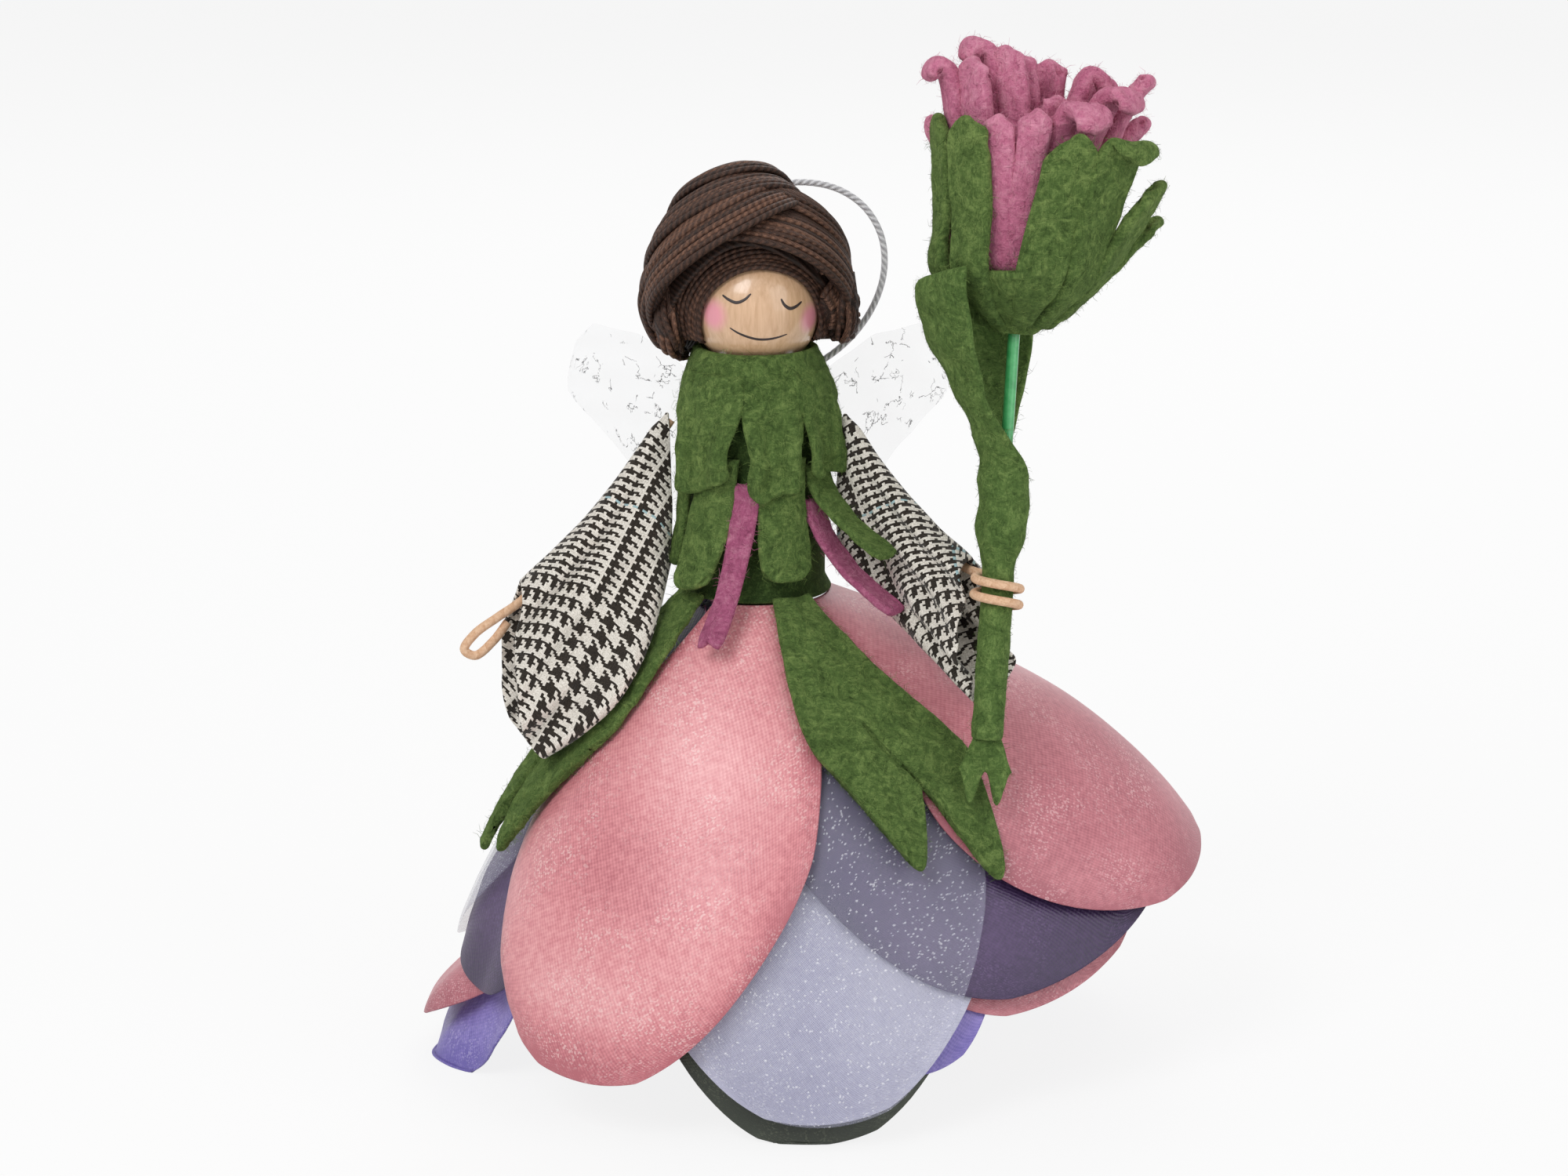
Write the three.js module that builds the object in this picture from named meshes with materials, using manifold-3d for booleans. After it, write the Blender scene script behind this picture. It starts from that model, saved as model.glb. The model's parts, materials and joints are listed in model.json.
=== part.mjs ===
// Fairy ornament: a bead-headed figure in a petal skirt that holds a felt flower. Millimetres, +Z up, front at -Y.
import * as THREE from 'three';
import { mergeVertices } from 'three/addons/utils/BufferGeometryUtils.js';
import Module from 'manifold-3d';

const wasm = await Module();
wasm.setup();

// Stock that the pieces are cut from
const clearance = 0.3;
const feltThickness = 1.2;
const satinThickness = 0.6;
const clothThickness = 0.7;
const wingThickness = 0.5;
const armWireDiameter = 1.4;
const bodyWireDiameter = 2.4;
const stemWireDiameter = 1.8;
const loopCordDiameter = 1;

// Skirt: a bell that starts at the waist, opens steeply and hangs nearly upright at the hem
const waistHeight = 75;
const waistRadius = 11;
const waistCoreLength = 9;
const bellLength = 80;
const flareAtWaist = 46;
const flareAtHem = 12;
const layerGap = 0.75;
const kick = 25;
const kickAzimuth = 97;
const kickWidth = 47;
const petalHalfAngle = 40;
const forkLength = 0.64 * bellLength;
const petalRounding = 0.2;

// Body
const bodiceHeight = 32;
const chestRadius = 10.6;
const neckRadius = 4.5;
const shoulderDrop = 5;
const shoulderReach = 13;
const collarTopRadius = 8.6;
const collarHeight = 8.5;

// Head and hair
const beadDiameter = 20;
const headHeight = waistHeight + 44.5;
const hairThickness = 1.1;
const crownBraidDiameter = 7.4;
const topBraidDiameter = 9.5;
const sideBraidDiameter = 5;
const crownLatitude = 30;
const topLatitude = 66;
const hairSetBack = 17;
const hairTilt = 7;

// Sleeves: wide bells along the arm wires
const sleeveWidth = [4.4, 11];
const sleeveStart = 2.2;
const leftSleeveDrop = [25, 29];
const rightSleeveDrop = [25, 19];
const leftArm = new THREE.Vector3(-23, -6, -27);
const rightArm = new THREE.Vector3(19.5, -14.5, -21);

// Flower, on an axis that leans to the back and to the side
const gripPoint = new THREE.Vector3(36, -23, waistHeight + 5);
const stemLean = new THREE.Vector3(0.065, 0.2, 1).normalize();
const stemDiameter = stemWireDiameter + 2 * (clearance + feltThickness);
const stemBelow = 22;
const leafStart = 18;
const wrapEnd = 10;
const leafTop = 44;
const leafRadius = 14.5;
const calyxBase = 39;
const calyxDepth = 8.5;
const calyxRadius = 12.5;
const blossomLength = 34;
const turnCount = 2;
const turnPitch = 2.4;

// Wings and hanging loop
const wingSpan = 30;
const wingDepth = 17;
const loopWidth = 32;
const loopHeight = 30;
const loopLean = 7;
const loopSetBack = 6;
const loopSpread = 336;

const rad = THREE.MathUtils.degToRad;

const colours = {
  wood: [0xdfb98f, 0.35],
  hair: [0x4c352b, 0.75],
  green: [0x4c6a2f, 0.95],
  mauve: [0xa35a7a, 0.95],
  check: [0x8c857c, 0.9],
  paper: [0xe3b68c, 0.8],
  rose: [0xdc8f96, 0.45],
  organza: [0xb4b2c8, 0.4],
  purple: [0x5c4668, 0.5],
  lilac: [0xc6c0d8, 0.5],
  violet: [0x8877bb, 0.5],
  olive: [0x47513c, 0.6],
  wire: [0x3fae62, 0.4],
  film: [0xdfe4ea, 0.2],
  cord: [0xb4b4b0, 0.5],
};

const fairy = new THREE.Group();
fairy.name = 'fairy_ornament';

function add(name, geometry, colour, parent = fairy) {
  const [color, roughness] = colours[colour];
  const mesh = new THREE.Mesh(geometry, new THREE.MeshStandardMaterial({ color, roughness, metalness: 0 }));
  mesh.name = name;
  parent.add(mesh);
  return mesh;
}

function toSolid(geometry) {
  const bare = geometry.clone();
  bare.deleteAttribute('normal');
  bare.deleteAttribute('uv');
  const merged = mergeVertices(bare, 1e-4);
  const vertProperties = new Float32Array(merged.attributes.position.array);
  const triVerts = new Uint32Array(merged.index.array);
  return new wasm.Manifold(new wasm.Mesh({ numProp: 3, vertProperties, triVerts }));
}

function toGeometry(solid) {
  const mesh = solid.getMesh();
  const geometry = new THREE.BufferGeometry();
  geometry.setAttribute('position', new THREE.BufferAttribute(mesh.vertProperties, 3));
  geometry.setIndex(new THREE.BufferAttribute(mesh.triVerts, 1));
  geometry.computeVertexNormals();
  return geometry;
}

function join(...geometries) {
  return toGeometry(geometries.map(toSolid).reduce((whole, piece) => whole.add(piece)));
}

function cut(geometry, ...tools) {
  return toGeometry(tools.map(toSolid).reduce((whole, tool) => whole.subtract(tool), toSolid(geometry)));
}

// A sheet of even thickness on the surface point(u, v), u from 0 to 1 along it and v from -1 to 1 across it
function sheet(point, thickness, rows, columns, closed = false) {
  const step = 1e-3;
  const positions = [];
  const indices = [];
  const across = closed ? columns : columns + 1;
  for (const side of [0.5, -0.5]) {
    for (let i = 0; i <= rows; i++) {
      for (let j = 0; j < across; j++) {
        const u = i / rows;
        const v = -1 + 2 * j / columns;
        const along = point(u + step, v).sub(point(u - step, v));
        const over = point(u, v + step).sub(point(u, v - step));
        const normal = along.cross(over).normalize();
        positions.push(...point(u, v).addScaledVector(normal, side * thickness).toArray());
      }
    }
  }
  const lower = (rows + 1) * across;
  const at = (i, j) => i * across + j % across;
  const quad = (a, b, c, d) => indices.push(a, b, c, a, c, d);
  for (let i = 0; i < rows; i++) {
    for (let j = 0; j < columns; j++) {
      const [a, b, c, d] = [at(i, j), at(i + 1, j), at(i + 1, j + 1), at(i, j + 1)];
      quad(a, b, c, d);
      quad(a + lower, d + lower, c + lower, b + lower);
    }
  }
  const rim = (p, q) => quad(p, p + lower, q + lower, q);
  for (let j = 0; j < columns; j++) {
    rim(at(0, j + 1), at(0, j));
    rim(at(rows, j), at(rows, j + 1));
  }
  for (let i = 0; i < rows && !closed; i++) {
    rim(at(i, 0), at(i + 1, 0));
    rim(at(i + 1, columns), at(i, columns));
  }
  const geometry = new THREE.BufferGeometry();
  geometry.setAttribute('position', new THREE.Float32BufferAttribute(positions, 3));
  geometry.setIndex(indices);
  geometry.computeVertexNormals();
  return geometry;
}

function tube(points, diameter, steps, sides) {
  const section = new THREE.Shape().absarc(0, 0, diameter / 2, 0, 2 * Math.PI);
  const extrudePath = new THREE.CatmullRomCurve3(points);
  return new THREE.ExtrudeGeometry(section, { extrudePath, steps, curveSegments: sides / 2 });
}

function lathe(profile, sides) {
  const points = profile.map(([radius, height]) => new THREE.Vector2(radius, height));
  return new THREE.LatheGeometry(points, sides).rotateX(Math.PI / 2);
}

const polar = (azimuth, radius, height) =>
  new THREE.Vector3(radius * Math.sin(rad(azimuth)), -radius * Math.cos(rad(azimuth)), height);

// Skirt

// Point of the bell at a length down from the waist, offset outwards from the rose layer
function bell(azimuth, length, offset) {
  let turn = azimuth - kickAzimuth;
  turn -= 360 * Math.round(turn / 360);
  const start = rad(flareAtWaist + kick * Math.exp(-((turn / kickWidth) ** 2)));
  const bend = rad(flareAtHem - flareAtWaist) / bellLength;
  const flare = start + bend * length;
  const radius = waistRadius + (Math.cos(start) - Math.cos(flare)) / bend;
  const height = waistHeight - (Math.sin(flare) - Math.sin(start)) / bend;
  return polar(azimuth, radius + offset * Math.cos(flare), height + offset * Math.sin(flare));
}

const layerPitch = satinThickness + layerGap;

// A petal's length is given as a share of the bell's
function petal(azimuth, share, layer, halfAngle = petalHalfAngle, sweep = 0) {
  const length = share * bellLength;
  const surface = (u, v) => {
    const spread = u < 0.7 ? 0.82 + 0.18 * Math.sin(Math.PI * u / 1.4) : 1 - 0.4 * ((u - 0.7) / 0.3) ** 2;
    const reach = length * u * (1 - petalRounding * u * v * v);
    const centre = azimuth + sweep * (1 - u) ** 2;
    return bell(centre + halfAngle * spread * v, reach, -layer * layerPitch);
  };
  return sheet(surface, satinThickness, sweep ? 8 : 6, 8);
}

const floor = new THREE.BoxGeometry(400, 400, 40).translate(0, 0, -20);
const standing = (geometry) => cut(geometry, floor);

add('rose_petal_left', petal(-32, 0.96, 0, petalHalfAngle, 30), 'rose');
add('rose_petal_right', petal(83, 0.9, 0), 'rose');
add('rose_petal_back', petal(-155, 0.95, 0), 'rose');
add('organza_petal_front', petal(13, 1.02, 1), 'organza');
add('organza_petal_left', petal(-108, 0.88, 1), 'organza');
add('organza_petal_back', petal(136, 0.9, 1), 'organza');
add('purple_petal_right', petal(58, 0.84, 2, petalHalfAngle, -30), 'purple');
add('purple_petal_left', petal(-75, 0.92, 2), 'purple');
add('purple_petal_back', petal(-165, 0.92, 2), 'purple');
add('lilac_petal_front', petal(5, 0.95, 3), 'lilac');
add('lilac_petal_right', petal(123, 0.88, 3, 36), 'lilac');
add('lilac_petal_left', petal(-130, 0.92, 3), 'lilac');
add('pink_petal_right', petal(52, 0.88, 4), 'rose');
add('pink_petal_left', petal(-98, 1, 4), 'rose');
add('pink_petal_back', petal(160, 0.98, 4), 'rose');
add('violet_petal_right', petal(37, 0.95, 5), 'violet');
add('violet_petal_left', standing(petal(-84, 1.09, 5, 32)), 'violet');
add('violet_petal_back', standing(petal(-158, 1.09, 5, 34)), 'violet');
add('violet_petal_back_right', petal(129, 1.1, 5, 34), 'violet');
add('olive_petal_front', standing(petal(13, 1.1, 6)), 'olive');
add('olive_petal_back', standing(petal(172, 1.11, 6)), 'olive');

const innerPetal = bell(-90, 0, -6 * layerPitch - satinThickness / 2 - clearance);
const waistCoreRadius = -innerPetal.x;
const waistCoreTop = waistHeight - clearance;

// Forked sepals of felt on the outer petals, swept sideways as they fall
const sepalOffset = (satinThickness + feltThickness) / 2 + layerGap;

function sepal(azimuth, sweep, halfAngle) {
  const surface = (u, v) => {
    const fork = 0.74 + 0.26 * Math.sin(Math.PI * v) ** 2;
    const reach = forkLength * u * (1 + (fork - 1) * u);
    const spread = 1 - 0.25 * (2 * u - 1) ** 2;
    return bell(azimuth + sweep * u + halfAngle * spread * v, reach, sepalOffset);
  };
  return sheet(surface, feltThickness, 6, 8);
}

add('sepal_left', sepal(-54, -22, 17), 'green');
add('sepal_right', sepal(26, 20, 19), 'green');
add('sepal_back', sepal(172, 10, 18), 'green');

// Body

const bodiceBase = waistHeight + satinThickness + clearance;
const bodiceTop = waistHeight + bodiceHeight;
const shoulderHeight = bodiceTop - shoulderDrop;
const bodiceOuter = [
  [waistRadius - 1, bodiceBase],
  [chestRadius, bodiceBase + bodiceHeight * 0.4],
  [chestRadius, shoulderHeight],
  [chestRadius * 0.8, bodiceTop - 1.5],
  [neckRadius, bodiceTop],
];
const bodiceInner = bodiceOuter.map(([radius, height]) => [radius - clothThickness, height - clothThickness]);
bodiceInner[0][1] = bodiceBase;
const bodiceProfile = [...bodiceOuter, ...bodiceInner.reverse(), bodiceOuter[0]];

const bodyWireRadius = bodyWireDiameter / 2;
const armWireRadius = armWireDiameter / 2;
const beadRadius = beadDiameter / 2;
const shoulderY = -(bodyWireRadius + armWireRadius + clearance);
const shoulders = {
  left: new THREE.Vector3(-shoulderReach, shoulderY, shoulderHeight),
  right: new THREE.Vector3(shoulderReach, shoulderY, shoulderHeight),
};

const rod = (radius, length, sides) => new THREE.CylinderGeometry(radius, radius, length, sides);
const shoulderRod = (radius, length) =>
  rod(radius, length, 10).rotateZ(Math.PI / 2).translate(0, shoulderY, shoulderHeight);
const shoulderWireLength = 2 * (shoulderReach - armWireRadius - clearance);

add('bodice', cut(lathe(bodiceProfile, 20), shoulderRod(armWireRadius + clearance, 4 * shoulderReach)), 'green');
add('shoulder_wire', shoulderRod(armWireRadius, shoulderWireLength), 'paper');

const bodyWireBase = waistHeight - waistCoreLength - 3;
const bodyWireTop = headHeight + beadRadius + 0.6;
const bodyWireLength = bodyWireTop - bodyWireBase;
const bodyWire = rod(bodyWireRadius, bodyWireLength, 14).rotateX(Math.PI / 2);
add('body_wire', bodyWire.translate(0, 0, bodyWireBase + bodyWireLength / 2), 'paper');

const coreInner = bodyWireRadius + clearance;
const coreProfile = [
  [coreInner, waistCoreTop - waistCoreLength],
  [waistCoreRadius, waistCoreTop - waistCoreLength],
  [waistCoreRadius, waistCoreTop],
  [coreInner, waistCoreTop],
  [coreInner, waistCoreTop - waistCoreLength],
];
add('waist_core', lathe(coreProfile, 20), 'green');

// Collar: a neck band that opens over the shoulders and is cut into strips in front and behind

const collarFoot = shoulderHeight + 2.2;
const collarFootRadius = chestRadius + clearance + feltThickness / 2;
const collarTop = collarFoot + collarHeight;
const tailRoom = feltThickness + 2 * clearance;

function collarBand(u, v) {
  const radius = THREE.MathUtils.lerp(collarTopRadius, collarFootRadius, Math.sin(u * Math.PI / 2));
  return polar(180 * v, radius, THREE.MathUtils.lerp(collarTop, collarFoot, u));
}

function collarStrip(azimuth, halfAngle, length) {
  const surface = (u, v) => {
    const stand = tailRoom * THREE.MathUtils.smoothstep(u, 0.1, 0.5);
    return polar(azimuth + halfAngle * v, collarFootRadius + stand, collarFoot + 1 - (length + 1) * u);
  };
  return sheet(surface, feltThickness, 5, 4);
}

const collarStrips = [[-48, 24, 11.5], [6, 24, 12.5], [53, 20, 10], [152, 24, 13], [-154, 24, 12]];
const collarPieces = collarStrips.map((measures) => collarStrip(...measures));
add('collar', join(sheet(collarBand, feltThickness, 3, 26, true), ...collarPieces), 'green');

// Strips of felt that hang from under the collar: azimuth, radius and height at each end
function tail([fromAzimuth, fromRadius, fromHeight], [toAzimuth, toRadius, toHeight], width) {
  const surface = (u, v) => {
    const radius = fromRadius + (toRadius - fromRadius) * u * u;
    const turn = THREE.MathUtils.radToDeg(v * width / 2 / radius);
    return polar(fromAzimuth + (toAzimuth - fromAzimuth) * u + turn, radius, fromHeight + (toHeight - fromHeight) * u);
  };
  return sheet(surface, feltThickness, 6, 4);
}

const tailTop = collarFoot - 6.5;
const tailSeat = collarFootRadius;
const stripTop = waistHeight + 13;
add('tail_centre', tail([20, tailSeat, tailTop], [21, tailSeat + 2, waistHeight + 4], 8), 'green');
add('tail_left', tail([-30, tailSeat, tailTop], [-42, tailSeat + 4, waistHeight + 2.6], 7.6), 'green');
add('tail_left_thin', tail([-68, tailSeat, tailTop], [-68, tailSeat + 2, waistHeight + 5], 3.4), 'green');
add('tail_right', tail([54, tailSeat, tailTop - 1.5], [50, tailSeat + 14.5, waistHeight + 9], 5.2), 'green');
add('mauve_strip_left', tail([-8, tailSeat, stripTop], [-20, tailSeat + 9.5, waistHeight - 5], 3.4), 'mauve');
add('mauve_strip_right', tail([52, tailSeat, stripTop], [54, tailSeat + 15, waistHeight], 4), 'mauve');

// Head

const head = new THREE.Group();
head.position.set(0, 0, headHeight);
fairy.add(head);

const boreRadius = bodyWireRadius + clearance;
const beadStart = Math.asin(boreRadius / beadRadius);
const beadProfile = [];
for (let i = 0; i <= 14; i++) {
  const angle = THREE.MathUtils.lerp(beadStart, Math.PI - beadStart, i / 14);
  beadProfile.push([beadRadius * Math.sin(angle), -beadRadius * Math.cos(angle)]);
}
add('head_bead', lathe([...beadProfile, beadProfile[0]], 22), 'wood', head);

const capInner = beadRadius + clearance;
const capOuter = capInner + hairThickness;
const ball = (radius) => new THREE.SphereGeometry(radius, 20, 12).rotateX(Math.PI / 2);
const faceOpening = rod(0.82 * beadRadius, 3 * beadRadius, 24).scale(1, 1, 0.86);
faceOpening.translate(0, -1.5 * beadRadius, -0.26 * beadRadius);
const belowHair = new THREE.BoxGeometry(60, 60, 40).translate(0, 0, -20 - 0.5 * beadRadius);
const aboveWire = rod(boreRadius, 3 * beadRadius, 14).rotateX(Math.PI / 2).translate(0, 0, 1.5 * beadRadius);
add('hair_cap', cut(ball(capOuter), ball(capInner), faceOpening, belowHair, aboveWire), 'hair', head);

const hairSeat = (diameter) => capOuter + clearance + diameter / 2;

function braidRing(latitude, diameter) {
  const seat = hairSeat(diameter);
  const ring = new THREE.TorusGeometry(seat * Math.cos(rad(latitude)), diameter / 2, 8, 22);
  return ring.translate(0, 0, seat * Math.sin(rad(latitude)));
}

const tilted = (geometry) => geometry.rotateX(-rad(hairSetBack)).rotateY(-rad(hairTilt));
add('crown_braid', tilted(braidRing(crownLatitude, crownBraidDiameter)), 'hair', head);
add('top_braid', tilted(braidRing(topLatitude, topBraidDiameter)), 'hair', head);

const onHair = (azimuth, latitude, diameter) => {
  const seat = hairSeat(diameter);
  return polar(azimuth, seat * Math.cos(rad(latitude)), seat * Math.sin(rad(latitude)));
};
const leftLoop = [[-66, -4], [-72, -16], [-88, -23], [-106, -17], [-114, -4]];
const rightLoop = [[68, 4], [72, -6], [88, -14], [106, -8], [114, 4]];
const sideLoop = (stations) =>
  tube(stations.map(([azimuth, latitude]) => onHair(azimuth, latitude, sideBraidDiameter)), sideBraidDiameter, 12, 8);
add('braid_loop_left', sideLoop(leftLoop), 'hair', head);
add('braid_loop_right', sideLoop(rightLoop), 'hair', head);

// Arms: the wire starts in a ball at the shoulder, and the sleeve hangs from the wire

function sleeve(arm, [dropAtShoulder, dropAtCuff]) {
  const along = arm.clone().normalize();
  const out = new THREE.Vector3(arm.x, arm.y, 0).normalize();
  const front = new THREE.Vector3(0, 0, 1).cross(out).multiplyScalar(-Math.sign(arm.x));
  const roof = (armWireRadius + 2 * clearance + clothThickness) / Math.hypot(along.x, along.y);
  const length = arm.length() - sleeveStart;
  const surface = (u, v) => {
    const angle = Math.PI * v * Math.sign(arm.x);
    const low = (1 - Math.cos(angle)) / 2;
    const drop = low * THREE.MathUtils.lerp(dropAtShoulder, dropAtCuff, u) - 1.5 * low * Math.sin(Math.PI * u);
    const bulge = Math.sin(angle) * (0.75 + 0.25 * low) * THREE.MathUtils.lerp(...sleeveWidth, u) / 2;
    const fold = 0.5 * Math.cos(3 * angle) * u * low;
    const hem = 1 + 0.1 * Math.sin(Math.PI * low) - 0.1 * low ** 3;
    const spot = along.clone().multiplyScalar(sleeveStart + length * u * hem);
    return spot.addScaledVector(front, bulge + fold).add(new THREE.Vector3(0, 0, roof - drop));
  };
  return sheet(surface, clothThickness, 7, 14, true);
}

const leftGroup = new THREE.Group();
leftGroup.position.copy(shoulders.left);
fairy.add(leftGroup);

const at = (x, y, z) => new THREE.Vector3(x, y, z);
const ballEnd = new THREE.SphereGeometry(armWireRadius * 1.02, 10, 8);
const handLoop = [[0.3, -0.2, 0.2], [-3.4, -0.4, -2.4], [-7, -0.8, -5], [-8.6, -1, -7.4], [-7, -0.8, -8.4],
  [-4.2, -0.4, -6.2], [-2, 0.4, -3.4]];
const leftWirePoints = [at(0, 0, 0), leftArm.clone().multiplyScalar(0.5)];
leftWirePoints.push(...handLoop.map(([x, y, z]) => at(x, y, z).add(leftArm)));
add('left_arm_wire', join(tube(leftWirePoints, armWireDiameter, 34, 6), ballEnd), 'paper', leftGroup);
add('left_sleeve', sleeve(leftArm, leftSleeveDrop), 'check', leftGroup);

const rightGroup = new THREE.Group();
rightGroup.position.copy(shoulders.right);
fairy.add(rightGroup);

const grip = gripPoint.clone().sub(shoulders.right);
const stemTurn = new THREE.Quaternion().setFromUnitVectors(at(0, 0, 1), stemLean);
const stemRadius = stemDiameter / 2;
const turnRadius = stemRadius + clearance + armWireRadius;
const rightWirePoints = [0, 0.5, 0.94].map((share) => rightArm.clone().multiplyScalar(share));
const turnSteps = turnCount * 12;
for (let i = 0; i <= turnSteps; i++) {
  const angle = rad(-60) + 2 * Math.PI * turnCount * i / turnSteps;
  const height = turnPitch * turnCount * (0.5 - i / turnSteps);
  const spot = at(-turnRadius * Math.cos(angle), -turnRadius * Math.sin(angle), height);
  rightWirePoints.push(spot.applyQuaternion(stemTurn).add(grip));
}
add('right_arm_wire', join(tube(rightWirePoints, armWireDiameter, 62, 6), ballEnd), 'paper', rightGroup);
add('right_sleeve', sleeve(rightArm, rightSleeveDrop), 'check', rightGroup);

// Least gap of the wire turns to themselves, measured between points over half a turn apart
const turnPath = new THREE.CatmullRomCurve3(rightWirePoints).getSpacedPoints(400);
let turnGap = Infinity;
turnPath.forEach((a, i) => turnPath.slice(i + 40).forEach((b) => {
  turnGap = Math.min(turnGap, a.distanceTo(b) - armWireDiameter);
}));
console.log('right arm wire, least gap to itself: ' + turnGap.toFixed(2) + ' mm');

// Flower

const flower = new THREE.Group();
flower.position.copy(gripPoint);
flower.quaternion.copy(stemTurn);
fairy.add(flower);

const stemWireRadius = stemWireDiameter / 2;
const stemWireTop = calyxBase + 4;
const stemWireBase = 4 - stemBelow;
const stemWireLength = stemWireTop - stemWireBase;
const stemWire = rod(stemWireRadius, stemWireLength, 12).rotateX(Math.PI / 2);
add('stem_wire', stemWire.translate(0, 0, stemWireBase + stemWireLength / 2), 'wire', flower);

// The stem felt is rolled round the wire and opens into a leaf towards the left and back
const rollRadius = stemRadius - feltThickness / 2;
const leafFacing = -115;
const rollFacing = -20;

function stemFelt(u, v) {
  const height = THREE.MathUtils.lerp(-stemBelow, leafTop, u);
  const open = THREE.MathUtils.smoothstep(height, leafStart, leafTop);
  const wrap = THREE.MathUtils.smoothstep(height, wrapEnd, wrapEnd + 18);
  const radius = THREE.MathUtils.lerp(rollRadius + 1.5 * THREE.MathUtils.smoothstep(height, 3, 10), leafRadius, open);
  const half = THREE.MathUtils.lerp(162, 80, wrap);
  return polar(THREE.MathUtils.lerp(rollFacing, leafFacing, wrap) + half * v, radius, height + 4 * open * v);
}
add('stem_felt', sheet(stemFelt, feltThickness, 10, 10), 'green', flower);

// Forked foot under the roll
function stemFoot(u, v) {
  const fork = 4.5 + 5 * Math.sin(Math.PI * v) ** 2;
  const flat = THREE.MathUtils.lerp(1, 1.25, u);
  const half = THREE.MathUtils.lerp(1.6, 3.2, u);
  return at(half * v * flat, 0.8 * v * v - 0.4, -stemBelow - clearance - fork * u);
}
add('stem_foot', sheet(stemFoot, feltThickness, 3, 8), 'green', flower);

const calyxProfile = [
  [stemWireRadius + clearance, calyxBase],
  [stemWireRadius + 1.4, calyxBase],
  [calyxRadius * 0.55, calyxBase + calyxDepth * 0.35],
  [calyxRadius, calyxBase + calyxDepth],
  [calyxRadius - feltThickness, calyxBase + calyxDepth],
  [calyxRadius * 0.55 - feltThickness, calyxBase + calyxDepth * 0.45],
  [stemWireRadius + clearance, calyxBase + calyxDepth * 0.3],
  [stemWireRadius + clearance, calyxBase],
];

// One strip of a fringe, standing up from a ring and leaning out
function fringeStrip(azimuth, ring, base, length, halfWidth, lean, curl) {
  const surface = (u, v) => {
    const radius = ring + lean * u + curl * u * u;
    const tip = 1 - 0.12 * v * v * u;
    const point = polar(azimuth, radius, base + length * u * tip);
    return point.addScaledVector(polar(azimuth + 90, 1, 0), halfWidth * v).add(polar(azimuth, -0.12 * halfWidth * v * v, 0));
  };
  return sheet(surface, feltThickness, 3, 2);
}

// The fringes splay to the right and stand up at the left
const splay = (azimuth) => Math.cos(rad(azimuth - 100));

const sepalStrips = [];
for (let i = 0; i < 8; i++) {
  const azimuth = 45 * i + 12;
  const ring = calyxRadius - feltThickness / 2;
  const length = 17.5 - 7.5 * splay(azimuth);
  sepalStrips.push(fringeStrip(azimuth, ring, calyxBase + calyxDepth - 1.2, length, 4.4, 5 + 4 * splay(azimuth), 0.5));
}
add('calyx', join(lathe(calyxProfile, 18), ...sepalStrips), 'green', flower);

const blossomSeat = calyxRadius - feltThickness - clearance;
const coreBase = calyxBase + calyxDepth * 0.72;
const blossomCore = lathe([[0, coreBase], [blossomSeat * 0.68, coreBase], [blossomSeat, coreBase + 3], [blossomSeat, coreBase + 5],
  [0, coreBase + 5]], 16);
const petalStrips = [];
for (let i = 0; i < 10; i++) {
  const azimuth = 36 * i;
  const length = blossomLength * (0.62 + 0.07 * (i % 3));
  petalStrips.push(fringeStrip(azimuth, blossomSeat - 1.4, coreBase + 3.5, length, 2.9, 3.2 + 2.4 * splay(azimuth), 0.8 + 0.5 * (i % 3)));
}
for (let i = 0; i < 6; i++) {
  petalStrips.push(fringeStrip(60 * i + 20, blossomSeat * 0.45, coreBase + 4, blossomLength * (0.76 + 0.08 * (i % 2)), 2.7, 2.4, 0.6));
}
add('blossom', join(blossomCore, ...petalStrips), 'mauve', flower);

// Wings of sheer film behind the collar
const wingSeat = collarFootRadius + tailRoom + feltThickness / 2 + clearance + wingThickness;

function wing(side) {
  const shape = new THREE.Shape();
  shape.moveTo(side * 1.2, -3);
  shape.bezierCurveTo(side * wingSpan * 0.4, wingDepth * 0.2, side * wingSpan * 0.5, wingDepth, side * wingSpan * 0.85, wingDepth);
  shape.bezierCurveTo(side * wingSpan * 1.1, wingDepth, side * wingSpan, 0, side * wingSpan * 0.6, -wingDepth * 0.25);
  shape.bezierCurveTo(side * wingSpan * 0.75, -wingDepth * 0.9, side * wingSpan * 0.2, -wingDepth, side * 1.2, -8);
  const film = new THREE.ExtrudeGeometry(shape, { depth: wingThickness, bevelEnabled: false, curveSegments: 9 });
  return film.rotateX(Math.PI / 2).rotateZ(side * rad(10)).translate(0, wingSeat, shoulderHeight - 6);
}
add('wing_left', wing(-1), 'film');
add('wing_right', wing(1), 'film');

// Hanging loop from the nape
const loopEnd = loopWidth / 2 * Math.sin(rad(loopSpread / 2));
const loopSeat = collarFootRadius + (feltThickness + loopCordDiameter) / 2 + clearance;
const nape = Math.sqrt(loopSeat ** 2 - loopEnd ** 2);
const loopPoints = [];
for (let i = 0; i <= 16; i++) {
  const angle = rad(loopSpread * (i / 16 - 0.5));
  const height = loopHeight / 2 * (1 + Math.cos(angle));
  const across = loopWidth / 2 * Math.sin(angle) + loopLean * height / loopHeight;
  loopPoints.push(at(across, nape + loopSetBack * height / loopHeight, collarFoot + 1 + height));
}
add('hanging_loop', tube(loopPoints, loopCordDiameter, 36, 6), 'cord');

// The frame's origin is under the middle of the piece
fairy.updateMatrixWorld(true);
const bounds = new THREE.Box3().setFromObject(fairy);
const middle = bounds.getCenter(new THREE.Vector3());
fairy.position.set(-middle.x, -middle.y, -bounds.min.z);

export default fairy;
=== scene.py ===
"""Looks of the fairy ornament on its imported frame. Lengths are millimetres round the doll's own axis."""

import json
import math

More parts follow.
